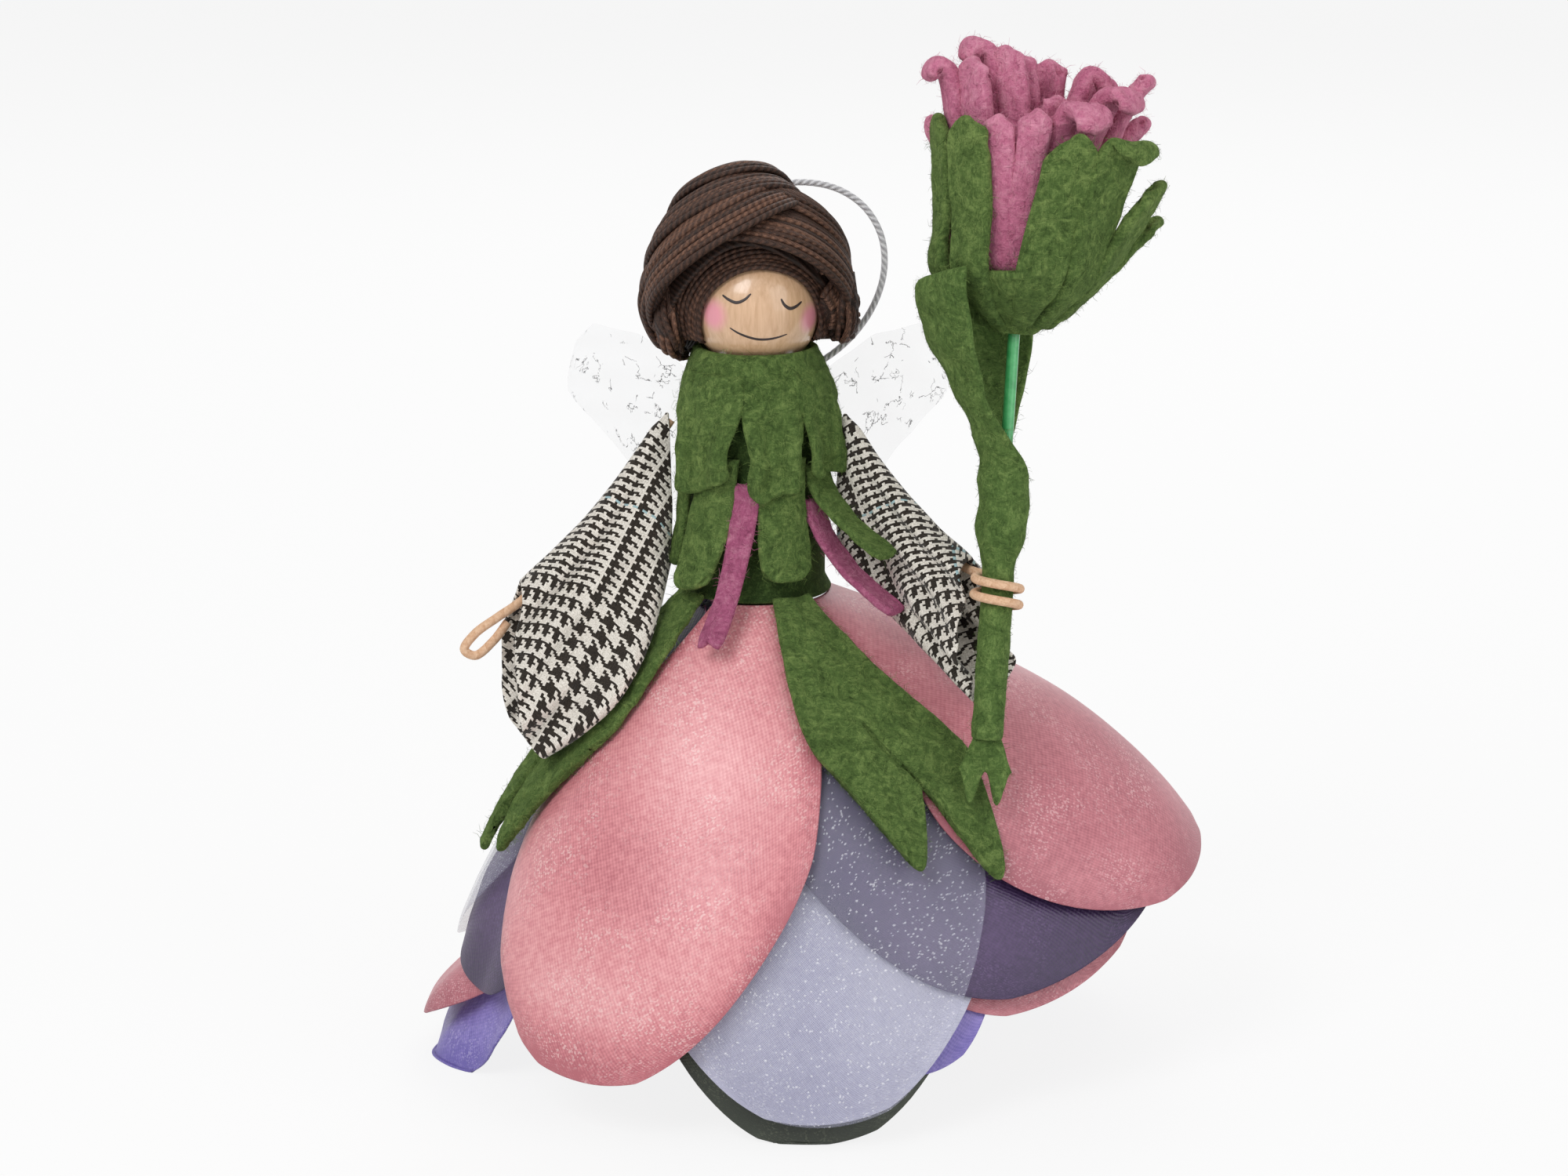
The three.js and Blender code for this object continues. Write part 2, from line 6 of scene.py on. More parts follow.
import bpy
import numpy as np
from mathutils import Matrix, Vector


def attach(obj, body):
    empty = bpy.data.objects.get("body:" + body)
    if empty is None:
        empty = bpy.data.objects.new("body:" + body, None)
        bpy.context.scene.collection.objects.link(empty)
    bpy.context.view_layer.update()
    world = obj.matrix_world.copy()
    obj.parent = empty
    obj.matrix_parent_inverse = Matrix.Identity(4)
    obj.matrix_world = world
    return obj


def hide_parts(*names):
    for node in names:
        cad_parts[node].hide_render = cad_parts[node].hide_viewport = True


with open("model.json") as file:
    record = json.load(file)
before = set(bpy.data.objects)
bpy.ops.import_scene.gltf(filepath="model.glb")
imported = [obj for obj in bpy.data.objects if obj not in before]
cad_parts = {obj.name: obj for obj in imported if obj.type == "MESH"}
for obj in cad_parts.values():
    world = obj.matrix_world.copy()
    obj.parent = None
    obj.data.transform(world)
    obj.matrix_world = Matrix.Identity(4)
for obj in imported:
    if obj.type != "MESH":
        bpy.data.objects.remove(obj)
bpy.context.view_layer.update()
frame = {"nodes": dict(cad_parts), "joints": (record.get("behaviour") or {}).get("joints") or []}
scene = bpy.context.scene
scene.view_settings.view_transform = "Standard"

# Places from the frame's joints
joint_at = {joint["name"]: np.array(joint["pos_m"]) * 1000 for joint in frame["joints"]}
AXIS = joint_at["head_turn"] * (1, 1, 0)
HEAD = joint_at["head_turn"] - AXIS
LEFT_SHOULDER = joint_at["left_arm_raise"] - AXIS
RIGHT_SHOULDER = joint_at["right_arm_raise"] - AXIS
GRIP = joint_at["flower_turn"] - AXIS

# Sizes that several pieces share
FELT = 1.2
CLEARANCE = 0.3
ARM_WIRE_RADIUS = 0.7
BEAD_RADIUS = 10
WHITE = (1, 1, 1, 1)


# Camera at the photograph's angle

PITCH = math.radians(14)
TO_CAMERA = np.array([0, -math.cos(PITCH), math.sin(PITCH)])
UPWARDS = np.array([0, math.sin(PITCH), math.cos(PITCH)])
CAMERA_AIM = AXIS + (4.24, 0, 75)
CAMERA_DISTANCE = 700

camera = bpy.data.objects.new("camera", bpy.data.cameras.new("camera"))
scene.collection.objects.link(camera)
camera.location = Vector((CAMERA_AIM + CAMERA_DISTANCE * TO_CAMERA) / 1000)
camera.rotation_euler = Vector(-TO_CAMERA).to_track_quat("-Z", "Y").to_euler()
camera.data.sensor_width = 36
camera.data.lens = 104.1
scene.camera = camera


# Mesh making

def unit(a):
    return a / np.maximum(np.linalg.norm(a, axis=-1, keepdims=True), 1e-9)


def smooth(x, low, high):
    t = np.clip((x - low) / (high - low), 0, 1)
    return t * t * (3 - 2 * t)


def lerp(a, b, t):
    return a + (b - a) * t


def stack(x, y, z):
    return np.stack(np.broadcast_arrays(x, y, z), -1).astype(float)


def polar(azimuth, radius, height):
    """Azimuth in degrees, 0 at the front and 90 at the flower's side."""
    a = np.radians(azimuth)
    return stack(radius * np.sin(a), -radius * np.cos(a), height)


def globe(azimuth, latitude, radius):
    """A spot on a ball, with both angles in degrees."""
    lat = np.radians(latitude)
    return polar(azimuth, radius * np.cos(lat), radius * np.sin(lat))


def turned(points, axis, angle):
    """Points turned about an axis through the origin, angle in degrees."""
    axis = unit(np.array(axis, float))
    a = math.radians(angle)
    side = np.cross(np.broadcast_to(axis, points.shape), points)
    return points * math.cos(a) + side * math.sin(a) + (points @ axis)[..., None] * axis * (1 - math.cos(a))


def waves(points, wavelength, seed):
    """A smooth seeded field of unit size over points."""
    count = 7
    r = np.random.default_rng(seed)
    way = unit(r.normal(size=(count, 3))) * 2 * np.pi / (wavelength * r.uniform(0.7, 1.5, (count, 1)))
    return np.sin(points @ way.T + r.uniform(0, 6.28, count)).sum(-1) / math.sqrt(count)


def run(points, axis):
    """Length covered along one axis of a grid of points."""
    step = np.linalg.norm(np.diff(points, axis=axis), axis=-1)
    return np.concatenate([np.zeros_like(np.take(step, [0], axis)), np.cumsum(step, axis)], axis)


class Form:
    """Vertices, quads, cut coordinates in mm and a tone for each vertex."""

    def __init__(self):
        self.parts = []

    def add(self, vertices, faces, cut=None, tone=0.5):
        vertices = np.asarray(vertices, float).reshape(-1, 3)
        cut = np.zeros((len(vertices), 2)) if cut is None else np.asarray(cut, float).reshape(-1, 2)
        tones = np.broadcast_to(np.asarray(tone, float).ravel(), len(vertices))
        self.parts.append((vertices, np.asarray(faces).reshape(-1, 4), cut, tones))

    def whole(self):
        vertices, faces, cuts, tones = zip(*self.parts)
        starts = np.cumsum([0] + [len(v) for v in vertices])
        faces = [quads + start for quads, start in zip(faces, starts)]
        return [np.concatenate(each) for each in (vertices, faces, cuts, tones)]

    def moved(self, change):
        self.parts = [(change(v), f, c, t) for v, f, c, t in self.parts]
        return self

    def mesh(self, name, material, body, *replaced, slot=None):
        """Makes the object, in the row's frame, riding on a body."""
        vertices, faces, cut, tones = self.whole()
        used, faces = np.unique(faces, return_inverse=True)
        faces = faces.reshape(-1, 4)
        vertices, cut, tones = vertices[used], cut[used], tones[used]
        data = bpy.data.meshes.new(name)
        data.from_pydata(((vertices + AXIS) / 1000).tolist(), [], faces.tolist(), shade_flat=False)
        data.validate()
        loops = np.zeros(len(data.loops), np.int32)
        data.loops.foreach_get("vertex_index", loops)
        data.uv_layers.new(name="cut").data.foreach_set("uv", cut[loops].astype(np.float32).ravel())
        data.attributes.new("tone", "FLOAT", "POINT").data.foreach_set("value", tones.astype(np.float32))
        data.materials.append(material)
        obj = bpy.data.objects.new(name, data)
        scene.collection.objects.link(obj)
        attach(obj, body)
        if replaced:
            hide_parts(*replaced)
        return obj


def lattice(rows, columns, closed):
    """Quads of a grid with rows x columns cells."""
    across = columns if closed else columns + 1
    i, j = np.meshgrid(np.arange(rows), np.arange(columns), indexing="ij")
    k = (j + 1) % across
    row, next_row = i * across, (i + 1) * across
    return np.stack([row + j, next_row + j, next_row + k, row + k], -1).reshape(-1, 4)


def grid_area(spot, closed):
    if closed:
        spot = np.concatenate([spot, spot[:, :1]], 1)
    sides = np.cross(spot[1:, 1:] - spot[:-1, :-1], spot[1:, :-1] - spot[:-1, 1:])
    return np.linalg.norm(sides, axis=-1).sum() / 2


def slab(form, surface, thickness, rows, columns, closed=False, relief=None, tone=0.5, edge=None):
    """A sheet with rounded edges on surface(u, v), u from 0 to 1 along it and v from -1 to 1 across it.

    A closed sheet joins its own two sides. Returns the sheet's area and length.
    """
    u = (1 - np.cos(np.pi * np.arange(rows + 1) / rows)) / 2
    if closed:
        v = -1 + 2 * np.arange(columns) / columns
    else:
        v = -np.cos(np.pi * np.arange(columns + 1) / columns)
    u, v = np.meshgrid(u, v, indexing="ij")
    step = 1e-3
    spot = surface(u, v)
    along = surface(u + step, v) - surface(u - step, v)
    over = surface(u, v + step) - surface(u, v - step)
    normal = unit(np.cross(along, over))
    down, across = run(spot, 0), run(spot, 1)
    inset = np.minimum(down, down[-1] - down)
    rim = np.zeros(u.shape, bool)
    rim[[0, -1]] = True
    if not closed:
        inset = np.minimum(inset, np.minimum(across, across[:, -1:] - across))
        rim[:, [0, -1]] = True
    edge = edge or thickness / 2
    half = thickness / 2 * np.sqrt(np.clip(1 - (1 - np.clip(inset / edge, 0, 1)) ** 2, 0, 1))
    if relief:
        spot = spot + normal * relief(spot, u, v)[..., None]
    rise = normal * half[..., None]
    cut = np.stack([across - across[:, -1:] / 2, down], -1)
    number = np.arange(u.size).reshape(u.shape)
    under = np.where(rim, number, number + u.size).ravel()
    top = lattice(rows, columns, closed)
    quads = np.concatenate([top, under[top[:, ::-1]]])
    tones = np.tile(np.ravel(tone(u, v)), 2) if callable(tone) else tone
    form.add(np.stack([spot + rise, spot - rise]), quads, np.stack([cut, cut]), tones)
    return grid_area(spot, closed), down[-1].max()


def spline(points, per_span=12):
    """Centripetal curve through points."""
    p = np.asarray(points, float)
    p = np.vstack([2 * p[0] - p[1], p, 2 * p[-1] - p[-2]])
    out = []
    for a, b, c, d in zip(p, p[1:], p[2:], p[3:]):
        k0, k1, k2 = (max(np.linalg.norm(y - x), 1e-6) ** 0.5 for x, y in ((a, b), (b, c), (c, d)))
        m1 = ((b - a) / k0 - (c - a) / (k0 + k1) + (c - b) / k1) * k1
        m2 = ((c - b) / k1 - (d - b) / (k1 + k2) + (d - c) / k2) * k1
        t = (np.arange(per_span) / per_span)[:, None]
        out.append(b + m1 * t + (3 * (c - b) - 2 * m1 - m2) * t ** 2 + (2 * (b - c) + m1 + m2) * t ** 3)
    return np.vstack(out + [p[-2:-1]])


def rope(form, path, radius, sides=8, tone=0.5, flat=1.0, facing=None):
    """A round rod along a path. flat squeezes it towards facing, a direction at each point."""
    path = np.asarray(path, float)
    along = unit(np.gradient(path, axis=0))
    if facing is None:
        ways = [unit(np.cross(along[0], [0.31, 0.2, 0.93]))]
        for t in along[1:]:
            ways.append(unit(ways[-1] - t * (ways[-1] @ t)))
        facing = np.array(ways)
    else:
        facing = unit(facing - along * (facing * along).sum(-1, keepdims=True))
    side = np.cross(along, facing)
    turn = 2 * np.pi * np.arange(sides) / sides
    radius = np.broadcast_to(radius, len(path))[:, None, None]
    ring = facing[:, None] * np.cos(turn)[:, None] * flat + side[:, None] * np.sin(turn)[:, None]
    cut = stack(turn * radius[..., 0], run(path, 0)[:, None], 0)[..., :2]
    rows = len(path) - 1
    quads = lattice(rows, sides, True)
    j = np.arange(sides // 2 - 1)
    for start, flip in ((0, 1), (rows * sides, -1)):
        cap = np.stack([start + j, start + j + 1, start + sides - 2 - j, start + sides - 1 - j], -1)
        quads = np.vstack([quads, cap[:, ::flip]])
    form.add(path[:, None] + ring * radius, quads, cut, tone)


# Materials, with colours as sRGB from 0 to 255

def srgb(*rgb):
    c = np.array(rgb, float) / 255
    return tuple(np.where(c <= 0.04045, c / 12.92, ((c + 0.055) / 1.055) ** 2.4)) + (1.0,)


class Nodes:
    """A node tree that calls build up. A value is a number, a colour or another node's output."""

    def __init__(self, tree):
        self.tree = tree

    def feed(self, socket, value):
        if isinstance(value, bpy.types.NodeSocket):
            self.tree.links.new(value, socket)
        else:
            socket.default_value = value

    def named(self, node, **inputs):
        """Feeds inputs by name, with underscores for spaces."""
        for key, value in inputs.items():
            self.feed(node.inputs[key.replace("_", " ")], value)
        return node

    def node(self, kind, *values, **settings):
        """Adds a node and feeds its inputs in order. None leaves one as it is."""
        node = self.tree.nodes.new("ShaderNode" + kind)
        for key, value in settings.items():
            setattr(node, key, value)
        for socket, value in zip(node.inputs, values):
            if value is not None:
                self.feed(socket, value)
        return node

    def math(self, operation, *values):
        return self.node("Math", *values, operation=operation).outputs[0]

    def weigh(self, *shares, plus=0.0):
        """The sum of values, each times its share."""
        for value, share in shares:
            plus = self.math("MULTIPLY_ADD", value, share, plus)
        return plus

    def pick(self, flag, a, b):
        """a where the flag is 1, b where it is 0."""
        return self.node("Mix", flag, None, b, a).outputs[0]

    def mix(self, share, a, b):
        """A colour from a to b."""
        node = self.node("Mix", data_type="RGBA")
        for index, value in ((0, share), (6, a), (7, b)):
            self.feed(node.inputs[index], value)
        return node.outputs[2]

    def ramp(self, value, *stops):
        node = self.node("ValToRGB", value)
        elements = node.color_ramp.elements
        while len(elements) < len(stops):
            elements.new(0.5)
        for element, (position, colour) in zip(elements, stops):
            element.position = position
            element.color = srgb(*colour)
        return node.outputs[0]


class Shader(Nodes):
    """A material with one Principled shader."""

    def __init__(self, name, **inputs):
        self.material = bpy.data.materials.new(name)
        self.material.use_nodes = True
        super().__init__(self.material.node_tree)
        self.bsdf = self.tree.nodes["Principled BSDF"]
        self.look(**inputs)

    def look(self, **inputs):
        self.named(self.bsdf, **inputs)

    def place(self):
        return self.node("TexCoord").outputs["Object"]

    def cut(self):
        """Millimetres across and along the piece as it was cut."""
        return self.node("UVMap", uv_map="cut").outputs[0]

    def tone(self):
        return self.node("Attribute", attribute_name="tone").outputs["Fac"]

    def stretched(self, at, x, y, z):
        return self.node("Mapping", at, None, None, (x, y, z)).outputs[0]

    def texture(self, kind, at, **inputs):
        return self.named(self.node("Tex" + kind, at), **inputs)

    def noise(self, at, per_metre, detail=3, rough=0.6, distortion=0.0):
        return self.texture("Noise", at, Scale=per_metre, Detail=detail, Roughness=rough,
                            Distortion=distortion).outputs[0]

    def threads(self, slant, per_mm, distortion):
        """Fine bands over the cut cloth, slant in degrees."""
        at = self.node("Mapping", self.cut(), None, (0, 0, math.radians(slant))).outputs[0]
        return self.texture("Wave", at, Scale=per_mm, Distortion=distortion).outputs["Fac"]

    def flakes(self, per_mm, rarity):
        """Cells over the cut cloth: a random value for each, and a flag for those above a rarity."""
        cells = self.texture("Voronoi", self.cut(), Scale=per_mm)
        lot = self.node("SeparateColor", cells.outputs["Color"]).outputs[0]
        return lot, self.math("GREATER_THAN", lot, rarity)

    def wound(self, profile, along, around):
        """A profile that winds round a strand, by its steps per mm along and around it."""
        uv = self.node("SeparateXYZ", self.cut()).outputs
        return self.math(profile, self.weigh((uv[1], along), (uv[0], around)))

    def relief(self, height, strength, distance, onto=None):
        bump = self.named(self.node("Bump"), Height=height, Strength=strength, Distance=distance)
        if onto is not None:
            self.named(bump, Normal=onto)
        return bump.outputs[0]


def felt(name, dark, mid, light):
    """Wool felt: matted fibres in three tones, with a soft nap."""
    s = Shader(name, Roughness=0.95, Specular_IOR_Level=0.15, Sheen_Weight=0.35, Sheen_Roughness=0.6,
               Sheen_Tint=srgb(*light))
    at = s.place()
    matted = s.noise(at, 420, 4, 0.65, 1.5)
    upright = s.noise(s.stretched(at, 1, 1, 0.3), 1700, 3, 0.75, 2.0)
    level = s.noise(s.stretched(at, 0.35, 1, 1), 1500, 3, 0.75, 2.0)
    fibre = s.weigh((level, 0.5), (upright, 0.5))
    shade = s.weigh((fibre, 0.55), (matted, 0.45), (s.tone(), 0.3), plus=-0.15)
    s.look(Base_Color=s.ramp(shade, (0.34, dark), (0.5, mid), (0.66, light)),
           Normal=s.relief(fibre, 0.9, 0.00035, s.relief(matted, 0.7, 0.0008)))
    return s.material


def satin(name, dark, mid, light, sheen):
    """Satin: floats laid on a fine slant, with painted glints, painted shimmer and broad painted bands of
    sheen and shade in its colour.
    """
    s = Shader(name, Specular_IOR_Level=0.5, Anisotropic=0.45, Sheen_Weight=0.25, Sheen_Roughness=0.35,
               Sheen_Tint=srgb(*sheen))
    at = s.place()
    weave = s.weigh((s.threads(-58, 0.5, 0.8), 0.4), (s.threads(32, 0.62, 0.6), 0.6))
    # Painted light: the fine shimmer noise paints shimmer into the colour and also bumps the normal; the
    # broad noise below it paints wide bands of sheen and shade.
    shimmer = s.noise(at, 1000, 3, 0.6)
    broad_painted_sheen = s.noise(at, 34, 1.5, 0.5)
    # Painted glints: rare cells, where a broad noise allows, turn the base colour towards the sheen colour.
    _, spark = s.flakes(3.6, 0.82)
    lit = s.math("MULTIPLY", spark, s.node("MapRange", s.noise(at, 120, 2), 0.42, 0.62).outputs[0])
    # The tone attribute adds painted shade, darker at the petal's rim.
    shade = s.weigh((broad_painted_sheen, 0.65), (shimmer, 0.4), (weave, 0.14), (s.tone(), 0.6), plus=-0.395)
    base = s.ramp(shade, (0.3, dark), (0.5, mid), (0.72, light))
    s.look(Base_Color=s.mix(s.weigh((lit, 0.4)), base, srgb(*sheen)),
           Roughness=s.weigh((weave, 0.18), plus=0.3),
           Normal=s.relief(s.weigh((weave, 1), (shimmer, 1)), 0.25, 0.00012))
    return s.material


def organza(name, base, light, cover):
    """Sheer stiff weave with fine glitter."""
    s = Shader(name, Specular_IOR_Level=0.5, Sheen_Weight=0.3, Sheen_Roughness=0.3)
    lot, spark = s.flakes(4.4, 0.965)
    threads = s.texture("Checker", s.cut(), Scale=5.5).outputs["Fac"]
    tint = s.mix(s.weigh((s.noise(s.place(), 110), 0.6)), srgb(*base), srgb(*light))
    # The glitter flakes are real, being more opaque and smoother; their near-white colour is a painted
    # glint.
    s.look(Base_Color=s.mix(s.weigh((spark, 0.85)), tint, (0.95, 0.95, 1, 1)),
           Alpha=s.weigh((threads, 0.12), (spark, 0.26), plus=cover - 0.06),
           Roughness=s.weigh((spark, -0.25), plus=0.45),
           Normal=s.relief(lot, 0.4, 0.0001))
    return s.material


def checked(name):
    """Glen check: bands of four-and-four and of two-and-two threads in a twill, with a blue overcheck."""
    pitch, broad, repeat = 0.375, 56, 128
    s = Shader(name, Roughness=0.9, Specular_IOR_Level=0.2, Sheen_Weight=0.2, Sheen_Roughness=0.5)
    uv = s.node("SeparateXYZ", s.cut()).outputs
    numbers, looks = [], []
    for axis in (0, 1):
        place = s.math("DIVIDE", s.math("ADD", uv[axis], 10 * pitch * repeat), pitch)
        number = s.math("FLOOR", place)
        turn = s.math("MODULO", number, repeat)
        four = s.math("LESS_THAN", s.math("MODULO", number, 8), 4)
        two = s.math("LESS_THAN", s.math("MODULO", number, 4), 2)
        dark = s.pick(s.math("GREATER_THAN", turn, broad - 0.5), two, four)
        blue = s.math("COMPARE", turn, broad + 30, 0.6)
        off_middle = s.math("SUBTRACT", s.math("FRACT", place), 0.5)
        numbers.append(number)
        looks.append((dark, blue, s.math("MULTIPLY", off_middle, off_middle)))
    warp_over = s.math("LESS_THAN", s.math("MODULO", s.math("ADD", *numbers), 4), 1.5)
    dark, blue, fall = (s.pick(warp_over, warp, weft) for warp, weft in zip(*looks))
    wool = s.noise(s.place(), 5200, 2, 0.6)
    pale = s.ramp(wool, (0.3, (202, 194, 182)), (0.7, (250, 245, 236)))
    black = s.ramp(wool, (0.3, (28, 24, 20)), (0.75, (62, 54, 46)))
    s.look(Base_Color=s.mix(s.weigh((blue, 0.7)), s.mix(dark, pale, black), srgb(124, 178, 190)),
           Normal=s.relief(s.weigh((wool, 0.5), (fall, -2.4)), 0.7, 0.00015))
    return s.material


def floss(name, dark, mid, light):
    """Twisted floss: plies that wind round each strand."""
    s = Shader(name, Roughness=0.62, Specular_IOR_Level=0.3, Sheen_Weight=0.12, Sheen_Roughness=0.4,
               Sheen_Tint=srgb(*light))
    ply = s.wound("SINE", 5.2, 4.0)
    fine = s.noise(s.place(), 4200, 2, 0.6)
    shade = s.weigh((fine, 0.5), (ply, 0.1), (s.tone(), 0.5))
    s.look(Base_Color=s.ramp(shade, (0.25, dark), (0.52, mid), (0.8, light)),
           Normal=s.relief(s.weigh((ply, 0.5), (fine, 1)), 0.6, 0.00018))
    return s.material


def cord(name, dark, light):
    """Smooth twisted cord."""
    s = Shader(name, Roughness=0.4, Specular_IOR_Level=0.5)
    ply = s.wound("SINE", 5.5, 6)
    s.look(Base_Color=s.ramp(s.weigh((ply, 0.5), plus=0.5), (0.1, dark), (0.8, light)),
           Normal=s.relief(ply, 0.5, 0.0002))
    return s.material


def paper(name, dark, light):
    """Paper ribbon wound on wire."""
    s = Shader(name, Roughness=0.8, Specular_IOR_Level=0.25)
    ribbon = s.wound("FRACT", 0.55, 0.23)
    grain = s.noise(s.place(), 2600)
    s.look(Base_Color=s.ramp(s.weigh((ribbon, 0.2), (grain, 0.8)), (0.25, dark), (0.7, light)),
           Normal=s.relief(s.weigh((grain, 0.4), (ribbon, 1)), 0.5, 0.0001))
    return s.material


def plain(name, dark, light, per_metre, roughness, **inputs):
    """A smooth material with faint mottling."""
    s = Shader(name, **inputs)
    mottle = s.noise(s.place(), per_metre)
    s.look(Base_Color=s.ramp(mottle, (0.3, dark), (0.7, light)),
           Roughness=s.weigh((mottle, 0.12), plus=roughness - 0.06),
           Normal=s.relief(mottle, 0.12, 0.0001))
    return s.material


GREEN = felt("green_felt", (42, 62, 28), (84, 108, 56), (132, 154, 88))
STEM_GREEN = felt("stem_felt", (44, 66, 30), (86, 112, 58), (132, 156, 90))
MAUVE = felt("mauve_felt", (128, 56, 88), (172, 92, 126), (204, 136, 160))
PINK = felt("pink_felt", (164, 78, 112), (206, 122, 152), (230, 160, 182))
STITCH = felt("core_felt", (120, 112, 100), (160, 152, 140), (196, 190, 180))
PETAL_CLOTH = {name: satin(name, *colours) for name, *colours in (
    ("rose_satin", (188, 106, 116), (222, 144, 150), (246, 184, 186), (255, 232, 228)),
    ("pink_satin", (170, 96, 108), (202, 126, 136), (226, 156, 164), (244, 204, 206)),
    ("purple_satin", (44, 29, 64), (66, 46, 86), (90, 68, 110), (108, 86, 130)),
    ("violet_satin", (112, 100, 178), (146, 132, 204), (178, 164, 222), (206, 196, 236)),
    ("olive_satin", (48, 54, 44), (68, 76, 60), (92, 100, 78), (130, 136, 114)),
    ("lilac_satin", (184, 184, 206), (206, 206, 224), (226, 226, 238), (244, 244, 250)))}
PETAL_CLOTH["organza"] = organza("organza", (166, 166, 192), (208, 208, 226), 0.19)
CHECK = checked("check_cloth")
HAIR = floss("hair_floss", (36, 24, 19), (78, 54, 43), (128, 92, 73))
PAPER = paper("paper_wire", (206, 160, 124), (238, 202, 170))
GREEN_WIRE = plain("green_wire", (52, 150, 84), (84, 182, 112), 700, 0.32, Coat_Weight=0.4,
                   Coat_Roughness=0.2)
SILVER = cord("loop_cord", (192, 192, 196), (238, 238, 240))
INK = plain("face_paint", (40, 30, 30), (58, 46, 46), 900, 0.45)


# Hanging loop, a thin silver-grey cord from the nape. It leans back and to the flower's side as it rises

LOOP_SEAT = 13.3
LOOP_FOOT = 105.2
LOOP_HALF_WIDTH, LOOP_HALF_HEIGHT = 16, 15
LOOP_SHIFT, LOOP_LEAN = 7, 6
LOOP_END = 168
LOOP_RADIUS = 0.5

loop_turn = np.radians(np.linspace(-LOOP_END, LOOP_END, 17))
loop_rise = LOOP_HALF_HEIGHT * (1 + np.cos(loop_turn))
loop_share = loop_rise / (2 * LOOP_HALF_HEIGHT)
loop_ends = LOOP_HALF_WIDTH * math.sin(math.radians(LOOP_END))
nape = math.sqrt(LOOP_SEAT ** 2 - loop_ends ** 2)
loop_route = spline(stack(LOOP_HALF_WIDTH * np.sin(loop_turn) + LOOP_SHIFT * loop_share,
                          nape + LOOP_LEAN * loop_share, LOOP_FOOT + loop_rise), 10)
loop_form = Form()
rope(loop_form, loop_route, LOOP_RADIUS, 12)
loop = loop_form.mesh("hanging_loop_cord", SILVER, "figure", "hanging_loop", slot="cord")


# Skirt. Flares are degrees from upright, and the bell stands out most at the flower's side

WAIST_RADIUS, WAIST_HEIGHT = 11, 75
BELL_LENGTH = 80
WAIST_FLARE, HEM_FLARE = 46, 12
SIDE_AZIMUTH, SIDE_FLARE, SIDE_SPREAD = 97, 25, 47
LAYER_PITCH = 1.35
PETAL_THICKNESS, PETAL_EDGE = 0.4, 0.3
PETAL_WIDEST = 0.6
HEM_HEIGHT = 0.3


def bell(azimuth, length, offset):
    """The skirt's bell at a length down from the waist. All layers share its drape."""
    around = azimuth - SIDE_AZIMUTH
    around = around - 360 * np.round(around / 360)
    start = np.radians(WAIST_FLARE + SIDE_FLARE * np.exp(-(around / SIDE_SPREAD) ** 2))
    bend = math.radians(HEM_FLARE - WAIST_FLARE) / BELL_LENGTH
    flare = start + bend * length
    radius = WAIST_RADIUS + (np.cos(start) - np.cos(flare)) / bend
    height = WAIST_HEIGHT - (np.sin(flare) - np.sin(start)) / bend
    a = np.radians(azimuth)
    low = (length / BELL_LENGTH).clip(0, 1.2)
    drape = low ** 2 * (0.5 * np.sin(5 * a + 0.6) + 0.35 * np.sin(8 * a + 2.1 + length / 30))
    drape = drape + 0.4 * low * np.sin(length / 8 + 3 * a + 1)
    offset = offset + drape
    return polar(azimuth, radius + offset * np.cos(flare), height + offset * np.sin(flare))


def petal(name, cloth, azimuth, length, layer, half=40, sweep=0, puff=0.0, flick=0.0, lip=0.0):
    """A petal of a half width in degrees. puff swells it; flick and lip lift its hem at the skirt's left."""
    seed = sum(map(ord, name))

    def surface(u, v):
        low = np.clip((u - PETAL_WIDEST) / (1 - PETAL_WIDEST), 0, 1.02)
        gathered = 0.8 + 0.2 * np.sin(np.pi * u / (2 * PETAL_WIDEST))
        spread = np.where(u < PETAL_WIDEST, gathered, np.sqrt(np.maximum(1 - 0.94 * low ** 2, 0.04)))
        reach = length * u * (1 - 0.26 * u * (spread * v) ** 2)
        around = azimuth + sweep * (1 - u) ** 2 + half * spread * v
        swell = puff * smooth(u, 0.3, 0.7) * (1 - np.clip(v, -1, 1) ** 6) * (1 - np.clip(u, 0, 1) ** 8)
        at_left = smooth(-around, 70, 88) * (1 - smooth(-around, 98, 114))
        lifted = (flick * smooth(u, 0.45, 1.0) + lip * smooth(u, 0.8, 1.0)) * at_left
        spot = bell(around, reach, -LAYER_PITCH * layer + swell + lifted)
        sunk = np.maximum(HEM_HEIGHT - spot[..., 2], 0)
        spot[..., 2] += sunk
        spot[..., :2] += unit(spot[..., :2]) * 0.5 * sunk[..., None]
        return spot

    def ripple(spot, u, v):
        return u * (0.12 * waves(spot, 17, seed) + 0.1 * v ** 2 * waves(spot, 7, seed + 1))

    # Painted shade: the tone darkens the petal's colour towards its rim, where it turns away from the light.
    def painted_rim_shade(u, v):
        return 0.5 - 0.3 * smooth(np.maximum(np.abs(v), u ** 2), 0.72, 1.0)

    form = Form()
    area, run_length = slab(form, surface, PETAL_THICKNESS, 64, 64, relief=ripple, tone=painted_rim_shade,
                            edge=PETAL_EDGE)
    obj = form.mesh(name + "_cloth", PETAL_CLOTH[cloth], "figure", name, slot=cloth)


